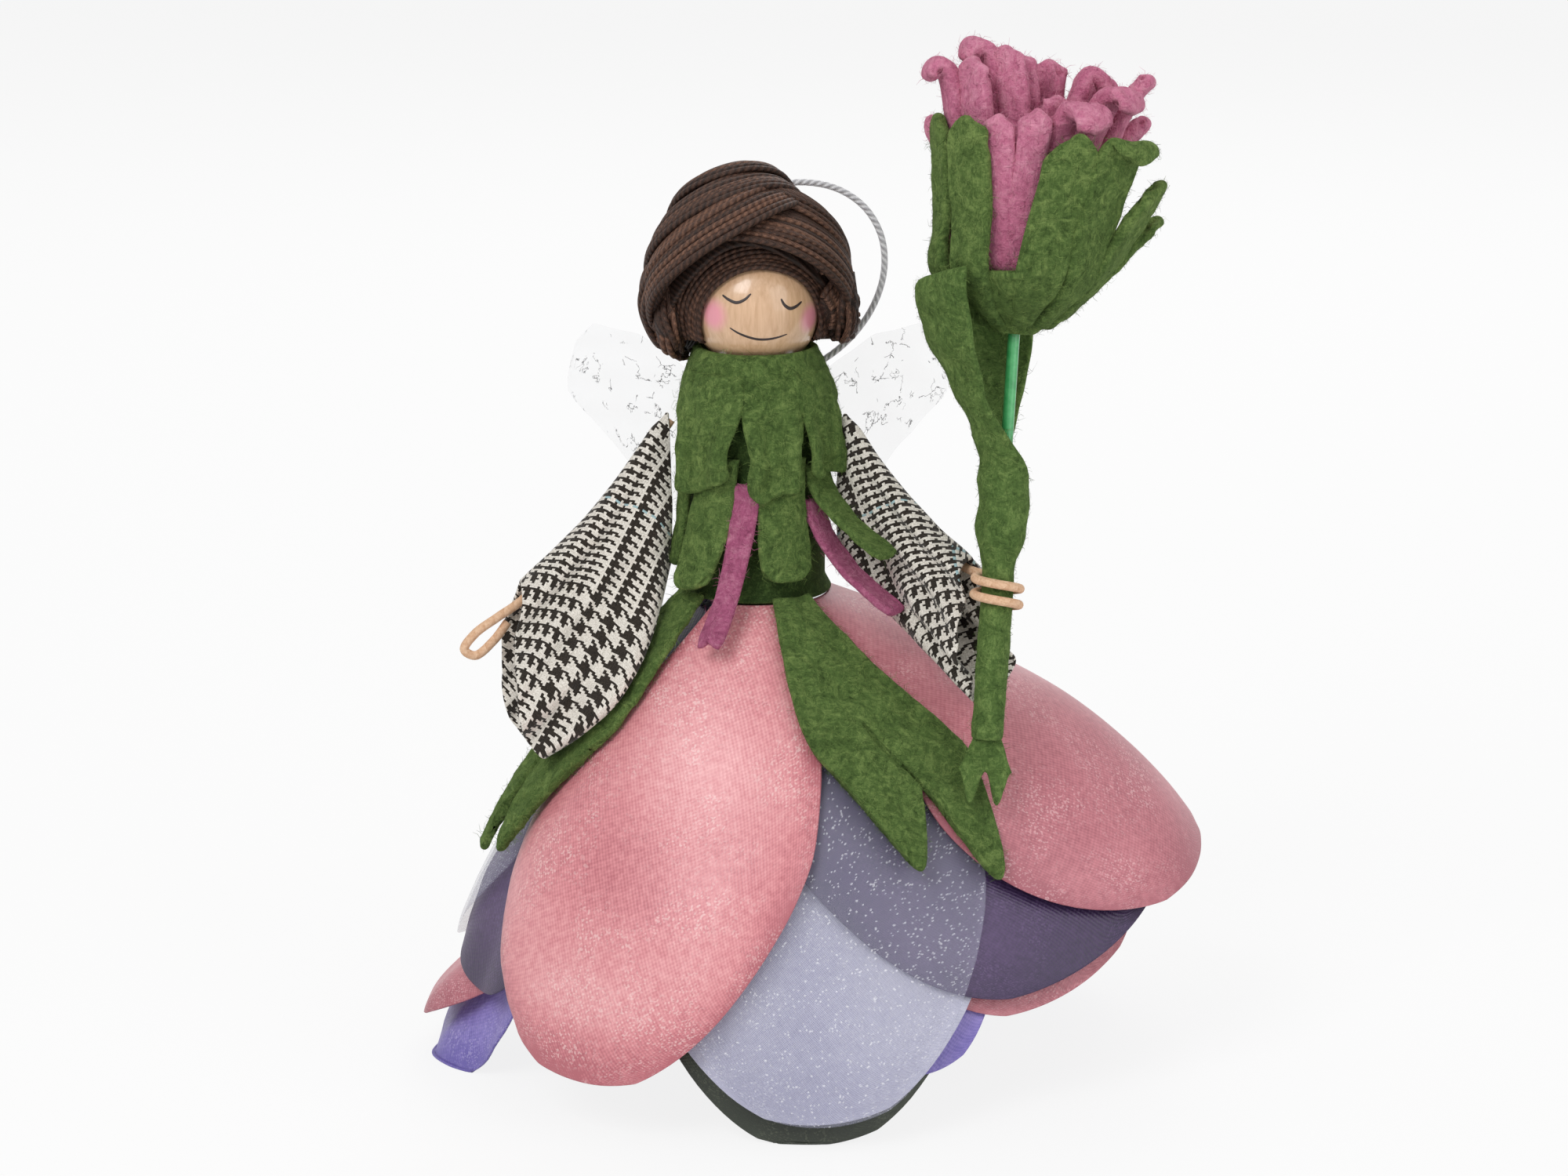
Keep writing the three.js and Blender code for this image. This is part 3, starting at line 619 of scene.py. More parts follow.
petal("rose_petal_left", "rose_satin", -32, 76.8, 0, half=42, sweep=30, puff=1.6)
petal("rose_petal_right", "pink_satin", 83, 72, 0, puff=1.6)
petal("rose_petal_back", "rose_satin", -155, 76, 0, puff=1.6)
petal("organza_petal_front", "organza", 13, 81.6, 1)
petal("organza_petal_left", "organza", -108, 70.4, 1, flick=3.5)
petal("organza_petal_back", "organza", 136, 72, 1)
petal("purple_petal_right", "purple_satin", 60, 71, 2, half=50, sweep=-34)
petal("purple_petal_left", "purple_satin", -75, 71, 2, flick=3.5)
petal("purple_petal_back", "purple_satin", -165, 73.6, 2)
petal("lilac_petal_front", "lilac_satin", 13, 81.6, 3, half=46)
petal("lilac_petal_right", "lilac_satin", 123, 70.4, 3, half=36)
petal("lilac_petal_left", "lilac_satin", -130, 73.6, 3, flick=3.5)
petal("pink_petal_right", "pink_satin", 58, 73.5, 4)
petal("pink_petal_left", "pink_satin", -96, 81, 4, flick=3.5, lip=6)
petal("pink_petal_back", "pink_satin", 160, 78.4, 4)
petal("violet_petal_right", "violet_satin", 34, 77, 5, half=27)
petal("violet_petal_left", "violet_satin", -84, 87.2, 5, half=32, flick=3.5, lip=4)
petal("violet_petal_back", "violet_satin", -158, 87.2, 5, half=34)
petal("violet_petal_back_right", "violet_satin", 129, 88, 5, half=34)
petal("olive_petal_front", "olive_satin", 12, 85.4, 6, half=47)
petal("olive_petal_back", "olive_satin", 172, 88.8, 6)


# Felt pieces

FIBRES_PER_MM2 = 1.6
FIBRE_LENGTH, FIBRE_WIDTH, FIBRE_RISE = 1.5, 0.055, 0.25


def nap(seed, size=0.16):
    """Uneven face of hand-cut felt."""
    return lambda spot, u, v: size * waves(spot, 5, seed) + 0.5 * size * waves(spot, 1.7, seed + 1)


def woolly(form, seed, tone=0.55):
    """Adds loose fibres that lie over a form's faces and stand off its edges."""
    vertices, faces, _, _ = form.whole()
    r = np.random.default_rng(seed)
    corner = vertices[faces]
    face_way = np.cross(corner[:, 2] - corner[:, 0], corner[:, 3] - corner[:, 1])
    area = np.linalg.norm(face_way, axis=1) / 2
    count = int(area.sum() * FIBRES_PER_MM2)
    pick = r.choice(len(faces), count, p=area / area.sum())
    a, b = r.random((2, count, 1))
    c = corner[pick]
    start = lerp(lerp(c[:, 0], c[:, 1], a), lerp(c[:, 3], c[:, 2], a), b)
    normal = unit(face_way[pick])
    tangent = unit(np.cross(normal, r.normal(size=(count, 3))))
    reach = FIBRE_LENGTH * r.uniform(0.4, 1.3, (count, 1))
    rise = r.uniform(0, FIBRE_RISE, (count, 1)) ** 1.5 + 0.06
    bend = unit(np.cross(normal, tangent)) * r.normal(0, 0.35, (count, 1))
    mid = start + (tangent + bend) * reach * 0.5 + normal * reach * rise
    end = start + (tangent - bend * 0.4) * reach + normal * reach * rise * r.uniform(0.2, 1.6, (count, 1))
    side = unit(np.cross(end - start, normal)) * FIBRE_WIDTH / 2
    tip = side * 0.4
    points = np.stack([start - side, start + side, mid - side, mid + side, end - tip, end + tip], 1)
    quads = np.arange(count)[:, None, None] * 6 + np.array([[0, 1, 3, 2], [2, 3, 5, 4]])
    tones = np.repeat(np.clip(r.normal(tone, 0.25, count), 0, 1), 6)
    form.add(points, quads, None, tones)
    return form


SEPAL_LENGTH, SEPAL_THICKNESS = 51.2, 1.3
SEPAL_FORK = 0.66
SEPAL_OFFSET = 1.65


def sepal(name, azimuth, sweep, half, lobes, lift, seed):
    """A forked leaf that lies on the petals. lobes are the shares of its length that its two tips reach."""

    def surface(u, v):
        tip = np.where(v < 0, lobes[0], lobes[1])
        point = np.clip(1 - np.abs(np.abs(v) - 0.5) / 0.5, 0, 1)
        forked = SEPAL_FORK + (tip - SEPAL_FORK) * smooth(point, -0.2, 1)
        reach = SEPAL_LENGTH * u * lerp(1, forked, smooth(u, 0.2, 1))
        spread = 1 - 0.25 * (2 * u - 1) ** 2
        around = azimuth + sweep * u + half * spread * v
        return bell(around, reach, SEPAL_OFFSET + lift * smooth(reach, 24, 48))

    form = Form()
    slab(form, surface, SEPAL_THICKNESS, 64, 72, relief=nap(seed))
    woolly(form, seed).mesh(name + "_felt", GREEN, "figure", name, slot="green_felt")


sepal("sepal_left", -54, -22, 17, (1.0, 0.95), 1.5, 21)
sepal("sepal_right", 26, 16, 19, (0.92, 1.03), 0.5, 22)
sepal("sepal_back", 172, 10, 18, (1.0, 0.93), 1.2, 23)

COLLAR_FOOT, COLLAR_TOP = 104.2, 112.7
COLLAR_RADIUS, NECK_RADIUS = 11.5, 8.6
COLLAR_STAND = 0.5
STRIP_START = COLLAR_TOP - 2.5
COLLAR_STRIPS = ((-41, 25, 11.5), (14, 20, 12.5), (58, 21, 10), (152, 24, 13), (-154, 24, 12))


def collar_radius(share):
    """The collar's round from the neck to its foot."""
    return lerp(NECK_RADIUS, COLLAR_RADIUS, np.sin(np.clip(share, 0, 1) * np.pi / 2))


def collar_band(u, v):
    a = np.radians(180 * v)
    folds = 0.3 * np.sin(a * 9) * u + 0.2 * np.sin(a * 5 + 1) * u
    return polar(180 * v, collar_radius(u) + folds, lerp(COLLAR_TOP + COLLAR_STAND, COLLAR_FOOT, u))


def collar_strip(form, azimuth, half, length, seed):
    """A hanging strip of a half width in degrees, length below the collar's foot."""

    def surface(u, v):
        height = STRIP_START - (STRIP_START - COLLAR_FOOT + length) * u
        low = np.clip((STRIP_START - height) / (STRIP_START - COLLAR_FOOT), 0, None)
        radius = collar_radius((COLLAR_TOP - height) / (COLLAR_TOP - COLLAR_FOOT))
        curl = 0.6 * np.cos(1.5 * np.pi * v + 0.7 * seed) + 0.3 * np.cos(3.1 * np.pi * v + seed)
        stand = 0.3 + 0.2 * (seed % 2) + 1.3 * smooth(low, 0.5, 2.2) + curl * smooth(low, 0.3, 2)
        uneven = 0.07 * length * np.sin(2.3 * v + seed) * u + 0.14 * length * v ** 4 * smooth(u, 0.6, 1)
        spread = 1.3 - 0.38 * smooth(low, 0.3, 2.2) + 0.05 * np.sin(7 * u + seed)
        side = half * v * spread * (1 - 0.3 * smooth(u, 0.9, 1.05))
        return polar(azimuth + side, radius + stand, height + uneven)

    slab(form, surface, FELT, 44, 40, relief=nap(seed))


collar = Form()
slab(collar, collar_band, FELT, 28, 140, closed=True, relief=nap(30))
for number, strip in enumerate(COLLAR_STRIPS):
    collar_strip(collar, *strip, 31 + number)
woolly(collar, 36).mesh("collar_felt", GREEN, "figure", "collar", slot="green_felt")

TAIL_RADIUS = 11.5
TAIL_TOP = COLLAR_FOOT - 6.5


def tail(name, start, end, width, material, slot, seed, notch=0.0, skew=0.0):
    """A hanging felt strip. start is its azimuth and height, end its azimuth, radius and height."""

    def surface(u, v):
        radius = lerp(TAIL_RADIUS, end[1], u * u)
        wide = width / 2 * (1 + 0.06 * np.sin(6 * u + seed)) * (1 - 0.25 * smooth(u, 0.93, 1.04))
        around = lerp(start[0], end[0], u) + np.degrees(v * wide / radius)
        low = smooth(u, 0.6, 1)
        cutback = notch * (1 - np.abs(v)) * low + skew * v * u + 0.12 * width * v ** 4 * low
        return polar(around, radius + 0.15 * (1 - v ** 2), lerp(start[1], end[2], u) + cutback)

    form = Form()
    slab(form, surface, FELT, 44, 30, relief=nap(seed, 0.1))
    woolly(form, seed, 0.6).mesh(name + "_felt", material, "figure", name, slot=slot)


tail("tail_centre", (20, TAIL_TOP), (21, 13.5, 79), 8, GREEN, "green_felt", 41)
tail("tail_left", (-30, TAIL_TOP), (-42, 15.5, 77.6), 7.6, GREEN, "green_felt", 42, skew=0.5)
tail("tail_left_thin", (-68, TAIL_TOP), (-68, 13.5, 80), 3.4, GREEN, "green_felt", 43)
tail("tail_right", (54, TAIL_TOP - 1.5), (50, 26, 84), 5.2, GREEN, "green_felt", 44)
tail("mauve_strip_left", (-6, 94), (-20, 21, 70), 4.0, MAUVE, "mauve_felt", 45, notch=1.5)
tail("mauve_strip_right", (50, 91), (54, 26.5, 75), 4.4, MAUVE, "mauve_felt", 46)


# Bodice, a padded tube of felt

BODICE_HEIGHTS = (75.35, 77.4, 88.7, 102, 105.5, 107)
BODICE_RADII = (11.7, 10.6, 10.6, 10.6, 8.5, 4.5)
BODICE_INSET, BODICE_SKIN = 0.35, 0.6


def bodice_surface(u, v):
    height = lerp(BODICE_HEIGHTS[0], BODICE_HEIGHTS[-1], u)
    return polar(-180 * v, np.interp(height, BODICE_HEIGHTS, BODICE_RADII) - BODICE_INSET, height)


bodice = Form()
# Painted shade: tone 0 makes the bodice darker than the other green felt, as the shade between the tails.
slab(bodice, bodice_surface, BODICE_SKIN, 40, 96, closed=True, tone=0.0)
bodice.mesh("bodice_felt", GREEN, "figure", "bodice", slot="green_felt")


# Arms and sleeves

LEFT_ARM = np.array([-23, -6, -27.0])
RIGHT_ARM = np.array([19.5, -14.5, -21])
ARM_BEND = 1.6
SLEEVE_START = 0.7
SLEEVE_PLAY, SLEEVE_CLOTH = 0.6, 0.7
SLEEVE_THICKNESS = 0.55
SHOULDER_WIDTH, CUFF_WIDTH = 4.4, 11
FLUTE_DEPTH, CREASE_DEPTH = 1.4, 2.8
CHECK_SLANT = math.radians(28)
CHECK_SHIFT = (22, -33)


def sleeve(name, body, arm, shoulder, drop_shoulder, drop_cuff, tip, sag, forward, seed):
    """A bell sleeve that hangs over an arm by its drops at the shoulder and at the cuff."""
    sign = np.sign(arm[0])
    along = arm / np.linalg.norm(arm)
    out = unit(arm * (1, 1, 0))
    front = np.cross([0, 0, 1], out) * -sign
    roof = (ARM_WIRE_RADIUS + SLEEVE_PLAY + SLEEVE_CLOTH) / math.hypot(along[0], along[1])
    length = np.linalg.norm(arm) - SLEEVE_START
    inward = out * along[2] - np.array([0, 0, 1]) * (along @ out)

    def surface(u, v):
        angle = np.pi * v * sign
        low = (1 - np.cos(angle)) / 2
        side = np.sin(angle)
        hem = 1 + 0.12 * np.sin(np.pi * low) + tip * low ** 3
        drop = low * lerp(drop_shoulder, drop_cuff, u) + sag * low * np.sin(np.pi * u)
        width = lerp(SHOULDER_WIDTH, CUFF_WIDTH, u)
        bulge = side * (0.75 + 0.25 * low) * width / 2 * lerp(1, np.where(side > 0, 1.65, 0.95), u)
        flute = np.sin(2 * np.pi * 1.9 * low + 1.2 + 0.9 * u)
        flute = flute + 0.5 * np.sin(2 * np.pi * 3.7 * low + seed - 1.5 * u)
        fold = FLUTE_DEPTH * flute * smooth(u, -0.2, 0.9) * np.abs(side) ** 0.5
        fold = fold + forward * low ** 2 * np.sin(np.pi * 0.9 * u)
        crease = np.exp(-((low - 0.66 + 0.25 * u) / 0.13) ** 2)
        crease = crease * smooth(u, 0.05, 0.4) * (1 - smooth(u, 0.7, 1))
        fold = fold - CREASE_DEPTH * crease * np.clip(side * 4, 0, 1)
        spot = along * (SLEEVE_START + length * u * hem)[..., None] + front * (bulge + fold)[..., None]
        spot[..., 2] += roof * (1 - 0.45 * (1 - smooth(u, 0, 0.15)) * (1 - low)) - drop
        return spot + inward * ARM_BEND * np.sin(np.pi * np.clip(u, 0, 1))[..., None] + shoulder

    form = Form()
    area, run_length = slab(form, surface, SLEEVE_THICKNESS, 90, 160, closed=True,
                            relief=lambda spot, u, v: 0.12 * u * waves(spot, 6, seed))
    vertices, faces, flat, tones = form.parts[0]
    reach = (vertices - shoulder) @ out
    rise = reach * along[2] / (along @ out) - np.abs(flat[:, 0])
    cos, sin = math.cos(CHECK_SLANT), math.sin(CHECK_SLANT)
    cut = np.stack([reach * cos + rise * sin, reach * sin - rise * cos], 1) + CHECK_SHIFT
    form.parts[0] = (vertices, faces, cut, tones)
    obj = form.mesh(name + "_cloth", CHECK, body, name, slot="check_cloth")


def arm_wire(side, points, shoulder, per_span):
    form = Form()
    rope(form, spline(np.vstack(points), per_span) + shoulder, ARM_WIRE_RADIUS, 14)
    form.mesh(side + "_arm_paper", PAPER, side + "_arm", side + "_arm_wire", slot="paper_wire")


sleeve("left_sleeve", "left_arm", LEFT_ARM, LEFT_SHOULDER, 25, 29, tip=-0.1, sag=0.5, forward=12, seed=51)
sleeve("right_sleeve", "right_arm", RIGHT_ARM, RIGHT_SHOULDER, 25, 18, tip=0.2, sag=-1.5, forward=0, seed=52)

left_elbow = LEFT_ARM / 2 + (0.75 * ARM_BEND, 0, -0.66 * ARM_BEND)
left_hand = LEFT_ARM + np.array([[0.3, -0.2, 0.2], [-3.4, -0.4, -2.4], [-7, -0.8, -5], [-8.6, -1, -7.4],
                                 [-7, -0.8, -8.4], [-4.2, -0.4, -6.2], [-2, 0.4, -3.4]])
arm_wire("left", [[0, 0, 0], left_elbow, left_hand], LEFT_SHOULDER, 12)

STEM_WAY = unit(np.array([0.065, 0.2, 1]))
LEAN_AXIS = unit(np.cross([0, 0, 1], STEM_WAY))
LEAN_ANGLE = math.degrees(math.acos(STEM_WAY[2]))
GRIP_RADIUS, GRIP_HEIGHT = 3.4, 4.8


def on_stem(points):
    """From the flower's own axes to the doll's."""
    return turned(np.asarray(points, float), LEAN_AXIS, LEAN_ANGLE) + GRIP


coil_share = np.arange(25) / 24
coil = np.radians(-60 + 720 * coil_share)
grip_turns = on_stem(stack(-GRIP_RADIUS * np.cos(coil), -GRIP_RADIUS * np.sin(coil),
                           GRIP_HEIGHT * (0.5 - coil_share)))
right_elbow = RIGHT_ARM * 0.5 + (-0.6 * ARM_BEND, 0, -0.75 * ARM_BEND)
arm_wire("right", [[0, 0, 0], right_elbow, RIGHT_ARM * 0.94, grip_turns - RIGHT_SHOULDER], RIGHT_SHOULDER, 8)


# Flower, along its own stem from the grip

STEM_RADIUS = 0.9
STEM_LOW, STEM_HIGH = -18, 43
ROLL_LOW, ROLL_HIGH = -22, 44
ROLL_RADIUS, LEAF_RADIUS = 1.8, 14.5
FOOT_TOP = -20.6


def flower_piece(form, name, material, slot, *replaced):
    form.moved(on_stem).mesh(name, material, "flower", *replaced, slot=slot)


def roll_surface(u, v):
    """The felt round the stem, which opens into a leaf at its top."""
    height = lerp(ROLL_LOW, ROLL_HIGH, u)
    opening = smooth(height, 18, ROLL_HIGH)
    wrap = smooth(height, 10, 28)
    radius = lerp(ROLL_RADIUS + 1.5 * smooth(height, 3, 10), LEAF_RADIUS, opening)
    radius = radius + 0.2 * np.sin(height * 0.9 + 3 * v) * smooth(height, 4, 8)
    half = lerp(165, 80, wrap)
    return polar(lerp(-20, -115, wrap) + half * v, radius, height + 4 * opening * v)


def foot_surface(u, v):
    fork = 4.5 + 5 * np.sin(np.pi * v) ** 2
    half = lerp(1.6, 3.2, u) * lerp(1, 1.25, u)
    return stack(half * v, 0.8 * v * v - 0.4, FOOT_TOP - (fork + 1.7) * u)


stem = Form()
rope(stem, stack(0, 0, np.linspace(STEM_LOW, STEM_HIGH, 50)), STEM_RADIUS, 20)
flower_piece(stem, "stem_coated_wire", GREEN_WIRE, "green_wire", "stem_wire")
roll = Form()
slab(roll, roll_surface, FELT, 90, 60, relief=nap(61, 0.1))
flower_piece(woolly(roll, 62), "stem_felt_roll", STEM_GREEN, "green_felt", "stem_felt")
foot = Form()
slab(foot, foot_surface, FELT, 30, 44, relief=nap(63, 0.1))
flower_piece(woolly(foot, 64), "stem_foot_felt", STEM_GREEN, "green_felt", "stem_foot")

CALYX, CALYX_DEPTH, CALYX_RADIUS = 39, 8.5, 12.5
CUP_THICKNESS = 1.4
CALYX_STRIP, BLOSSOM_STRIP = 1.9, 2.5
CORE_RADIUS, CORE_HEIGHT = 8.2, 5
CORE_BASE = CALYX + CALYX_DEPTH * 0.72

# Strips of the fringes: azimuth, half width, sway to the side, and a route of radius and height
CALYX_FOOT = ((4.4, CALYX + 1), (8.8, CALYX + 4.6), (12.2, CALYX + CALYX_DEPTH))
CALYX_FRINGE = (
    (10, 4.4, 4, ((13.2, 54), (15, 62), (16.6, 68))),
    (46, 4.8, 1.5, ((13.8, 53), (16.4, 61), (18.4, 66), (20.4, 66.6), (21.2, 64))),
    (77, 4.6, 0, ((14.6, 51.5), (18.4, 58), (21, 62.5))),
    (108, 4.7, -1, ((15, 50.5), (19, 55), (22, 57.5))),
    (147, 4.6, 0, ((13.8, 54), (15.8, 61), (16.8, 65))),
    (192, 4.6, 1, ((13, 56), (14, 65), (14.4, 69))),
    (237, 4.4, -1, ((12.6, 56), (13.4, 65), (13.8, 69))),
    (280, 4.2, 0, ((12.3, 56), (13, 64), (13.8, 70.5))),
    (322, 3.6, -1.5, ((12.4, 56), (13.2, 64), (13.6, 70))))
OUTER_FOOT = ((8.4, 47.5),)
OUTER_FRINGE = (
    (-80, 3.1, 0, ((9.5, 60), (11.2, 70), (12.8, 76.5), (14.6, 77.4), (15.6, 75))),
    (-106, 2.9, 0, ((10.2, 58), (12.6, 65), (15, 70.5))),
    (-52, 3.1, -1, ((9.0, 60), (9.8, 71), (10.8, 79))),
    (-24, 2.8, 0, ((9.8, 56), (10.8, 64), (11.8, 70.5))),
    (-2, 2.7, 1, ((9.8, 56), (11, 64), (12.6, 71.5))),
    (26, 3.2, 2.5, ((9.2, 60), (10.6, 67.5), (12.8, 71.6), (15.2, 71), (16.2, 68))),
    (56, 3.2, 1, ((9.2, 60), (11, 68.5), (13.8, 74), (16.2, 74.2), (17.2, 71.5))),
    (86, 3.1, 0, ((10, 59), (12.6, 68.5), (16, 75.5), (18, 78))),
    (106, 2.8, -1, ((11, 60), (14.4, 67.5), (18.6, 72))),
    (132, 3.1, 0, ((9.6, 60), (11.4, 70), (13.6, 76.5), (15.4, 76.4), (16, 74))),
    (160, 3.0, 1, ((9.4, 60), (10.6, 70), (11.4, 77))),
    (196, 3.2, -1, ((9.4, 60), (11, 70), (12.8, 76), (14.6, 76), (15.4, 73.4))),
    (228, 3.0, 0, ((9.4, 60), (10.8, 70), (11.8, 78))))
INNER_FOOT = ((4.2, 48.5),)
INNER_FRINGE = (
    (-30, 3.0, -1.5, ((4.4, 62), (5, 74), (5.6, 81))),
    (-80, 3.0, 1, ((4.6, 64), (5.8, 75), (7.6, 80.5), (9.4, 80.6), (10.2, 78))),
    (35, 2.8, 0, ((4.4, 60), (5.6, 69), (7, 74))),
    (95, 2.9, 1, ((4.6, 62), (6.6, 72), (9, 77.5), (11, 77), (11.6, 74.4))),
    (150, 2.9, 0, ((4.4, 62), (5.4, 73), (6.4, 80))),
    (215, 2.9, -1, ((4.4, 62), (5.6, 74), (7.6, 80), (9.4, 79.8), (10, 77.2))),
    (-5, 2.5, -2, ((1.6, 62), (1.4, 74), (0.6, 80))))
STITCH_ROUTE = ((-1.7, -6.4, 42.9), (-0.5, -6.9, 43.3), (0.8, -6.9, 43.3), (1.7, -6.5, 43))
STITCH_RADIUS = 0.16


def ribbon(form, azimuth, half, sway, route, thick, root, seed):
    """One thick felt strip of a fringe, with a round end. root is the share of its width at its start."""
    path = spline([(radius, height, 0) for radius, height in route], 50)
    share = np.linspace(0, 1, len(path))
    end = 1.1 * half / np.linalg.norm(np.diff(path, axis=0), axis=1).sum()
    outward, side = polar(azimuth, 1, 0), polar(azimuth + 90, 1, 0)

    def surface(u, v):
        at = u - 0.75 * end * v * v * smooth(u, 0.5, 1)
        radius, height = np.interp(at, share, path[:, 0]), np.interp(at, share, path[:, 1])
        blunt = np.sqrt(np.maximum(1 - 0.5 * np.clip((u - 1 + end) / end, 0, 1) ** 2, 0.05))
        blunt = blunt * lerp(root, 1, smooth(u, 0, 0.45))
        width = half * v * blunt * (0.95 + 0.08 * np.sin(5 * u + seed))
        spot = outward * (radius - 0.14 * half * v * v)[..., None] + side * (width + sway * u * u)[..., None]
        spot[..., 2] = height + 0.4 * np.sin(seed) * v * u
        return spot

    # Painted shade: the tone darkens each strip towards its root among the others and lightens it towards
    # its end.
    slab(form, surface, thick, 48, 26, relief=nap(seed, 0.14), tone=lambda u, v: 0.35 + 0.3 * u)


def fringe(form, foot, strips, thick, seed, root=1.0):
    """Strips that start on one foot, a route of radius and height."""
    for number, (azimuth, half, sway, route) in enumerate(strips):
        ribbon(form, azimuth, half, sway, foot + route, thick, root, seed + number)


def cup_surface(u, v):
    a = np.radians(180 * v)
    radius = np.interp(u, [0, 0.3, 0.65, 1], [1.8, 5.4, 9.2, CALYX_RADIUS - 0.6])
    gathers = 0.5 * np.sin(8 * a + 0.8) * u + 0.25 * np.sin(13 * a) * u
    return polar(-180 * v, radius + gathers, CALYX + CALYX_DEPTH * u)


def core_surface(u, v):
    radius = CORE_RADIUS * np.sin(np.clip(u, 0, 1) * np.pi / 2) + 0.05
    return polar(-180 * v, radius, CORE_BASE + CORE_HEIGHT * (1 - u))


calyx = Form()
slab(calyx, cup_surface, CUP_THICKNESS, 36, 140, closed=True, relief=nap(70, 0.14))
fringe(calyx, CALYX_FOOT, CALYX_FRINGE, CALYX_STRIP, 71, root=0.35)
flower_piece(woolly(calyx, 80), "calyx_felt", GREEN, "green_felt", "calyx")
stitch = Form()
rope(stitch, spline(STITCH_ROUTE, 8), STITCH_RADIUS)
flower_piece(stitch, "calyx_stitch", STITCH, "green_felt")
blossom = Form()
slab(blossom, core_surface, FELT, 20, 60, closed=True)
fringe(blossom, OUTER_FOOT, OUTER_FRINGE, BLOSSOM_STRIP, 91)
fringe(blossom, INNER_FOOT, INNER_FRINGE, BLOSSOM_STRIP, 111)
flower_piece(woolly(blossom, 99, 0.62), "blossom_felt", PINK, "pink_felt", "blossom")


# Head: a lacquered wooden bead with a painted face

BORE_RADIUS = 1.5
BEAD_SKIN = 0.1
CHEEK_CORE = 0.9
# Tenths of a millimetre from the bead's middle, as the camera sees them. A cheek's reach is in millimetres
CHEEKS = ((-65, -21, 3.3), (82, -25, 3.0))
LEFT_EYE = ((-50, 8), (-41, 1), (-29, -4), (-17, 0), (-7, 9))
RIGHT_EYE = ((38, 2), (43, -7), (51, -12), (60, -9), (69, -1))
SMILE = ((-39, -41), (-28, -48), (-14, -54), (2, -58), (18, -58), (33, -55), (47, -50))


def on_face(across, up):
    """A spot of the bead by its tenths of a millimetre."""
    a, b = np.asarray(across, float) / 10, np.asarray(up, float) / 10
    depth = np.sqrt(np.maximum(BEAD_RADIUS ** 2 - a * a - b * b, 0))
    spot = a[..., None] * np.array([1.0, 0, 0]) + b[..., None] * UPWARDS + depth[..., None] * TO_CAMERA
    return unit(spot) * BEAD_RADIUS + HEAD


def bead_surface(u, v):
    start = math.asin(BORE_RADIUS / BEAD_RADIUS)
    angle = lerp(start, np.pi - start, u)
    radius = BEAD_RADIUS - BEAD_SKIN / 2
    return polar(-180 * v, radius * np.sin(angle), HEAD[2] + radius * np.cos(angle))


def bead_wood(name):
    """Lacquered wood with upright grain and two cheeks of soft pink."""
    s = Shader(name, Roughness=0.34, Specular_IOR_Level=0.5, Coat_Weight=0.7, Coat_Roughness=0.12)
    at = s.place()
    grain = s.noise(s.stretched(at, 1, 1, 0.12), 1500, 4, 0.6, 0.4)
    wood = s.ramp(grain, (0.3, (206, 164, 126)), (0.7, (228, 190, 154)))
    for across, up, reach in CHEEKS:
        centre = (on_face(across, up) + AXIS) / 1000
        away = s.node("VectorMath", at, tuple(centre), operation="DISTANCE").outputs["Value"]
        soft = s.node("MapRange", away, CHEEK_CORE / 1000, reach / 1000, 0.85, 0.0,
                      interpolation_type="SMOOTHSTEP").outputs[0]
        wood = s.mix(soft, wood, srgb(240, 150, 172))
    s.look(Base_Color=wood, Normal=s.relief(grain, 0.08, 0.0001))
    return s.material


bead = Form()
slab(bead, bead_surface, BEAD_SKIN, 80, 120, closed=True)
bead.mesh("head_bead_wood", bead_wood("bead_wood"), "head", "head_bead", slot="wood_bead")
face = Form()
for line, radius in ((LEFT_EYE, 0.24), (RIGHT_EYE, 0.26), (SMILE, 0.2)):
    route = spline([(across, up, 0) for across, up in line], 10)
    path = on_face(route[:, 0], route[:, 1])
    taper = 0.35 + 0.65 * np.sin(np.pi * np.linspace(0, 1, len(route))) ** 0.5
    rope(face, path, radius * taper, 10, flat=0.4, facing=path - HEAD)
face.mesh("face_paint_lines", INK, "head")


# Hair

FACE_WAY = unit(np.array([0.1, -0.95, -0.32]))
SIDE_WAY = unit(np.cross(FACE_WAY, [0, 0, 1]))
UP_WAY = np.cross(SIDE_WAY, FACE_WAY)
SHELL_RADIUS, SHELL_THICKNESS, SHELL_LOW = 10.5, 0.3, -5.2
FRONT_STRANDS, FRONT_RADIUS, FRONT_RISE, FRONT_YARN, FRONT_LOW = 19, 10.75, 2.3, 0.42, -5.0
NAPE_STRANDS, NAPE_RADIUS, NAPE_YARN = 40, 10.8, 0.58


def round_face(turn, around):
    """Directions that stand off the face's way by turn and lie around it, both in radians."""
    ring = UP_WAY * np.cos(around)[..., None] + SIDE_WAY * np.sin(around)[..., None]
    return FACE_WAY * np.cos(turn)[..., None] + ring * np.sin(turn)[..., None]


def shell_surface(u, v):
    """The bead's hair side: everything further round from the face than the hairline, above the nape."""
    spot = round_face(np.radians(lerp(62, 172, np.clip(u, 0, 1))), np.pi * v) * SHELL_RADIUS
    spot[..., 2] = np.maximum(spot[..., 2], SHELL_LOW)
    return spot + HEAD


hair = Form()
hair_draws = np.random.default_rng(3)
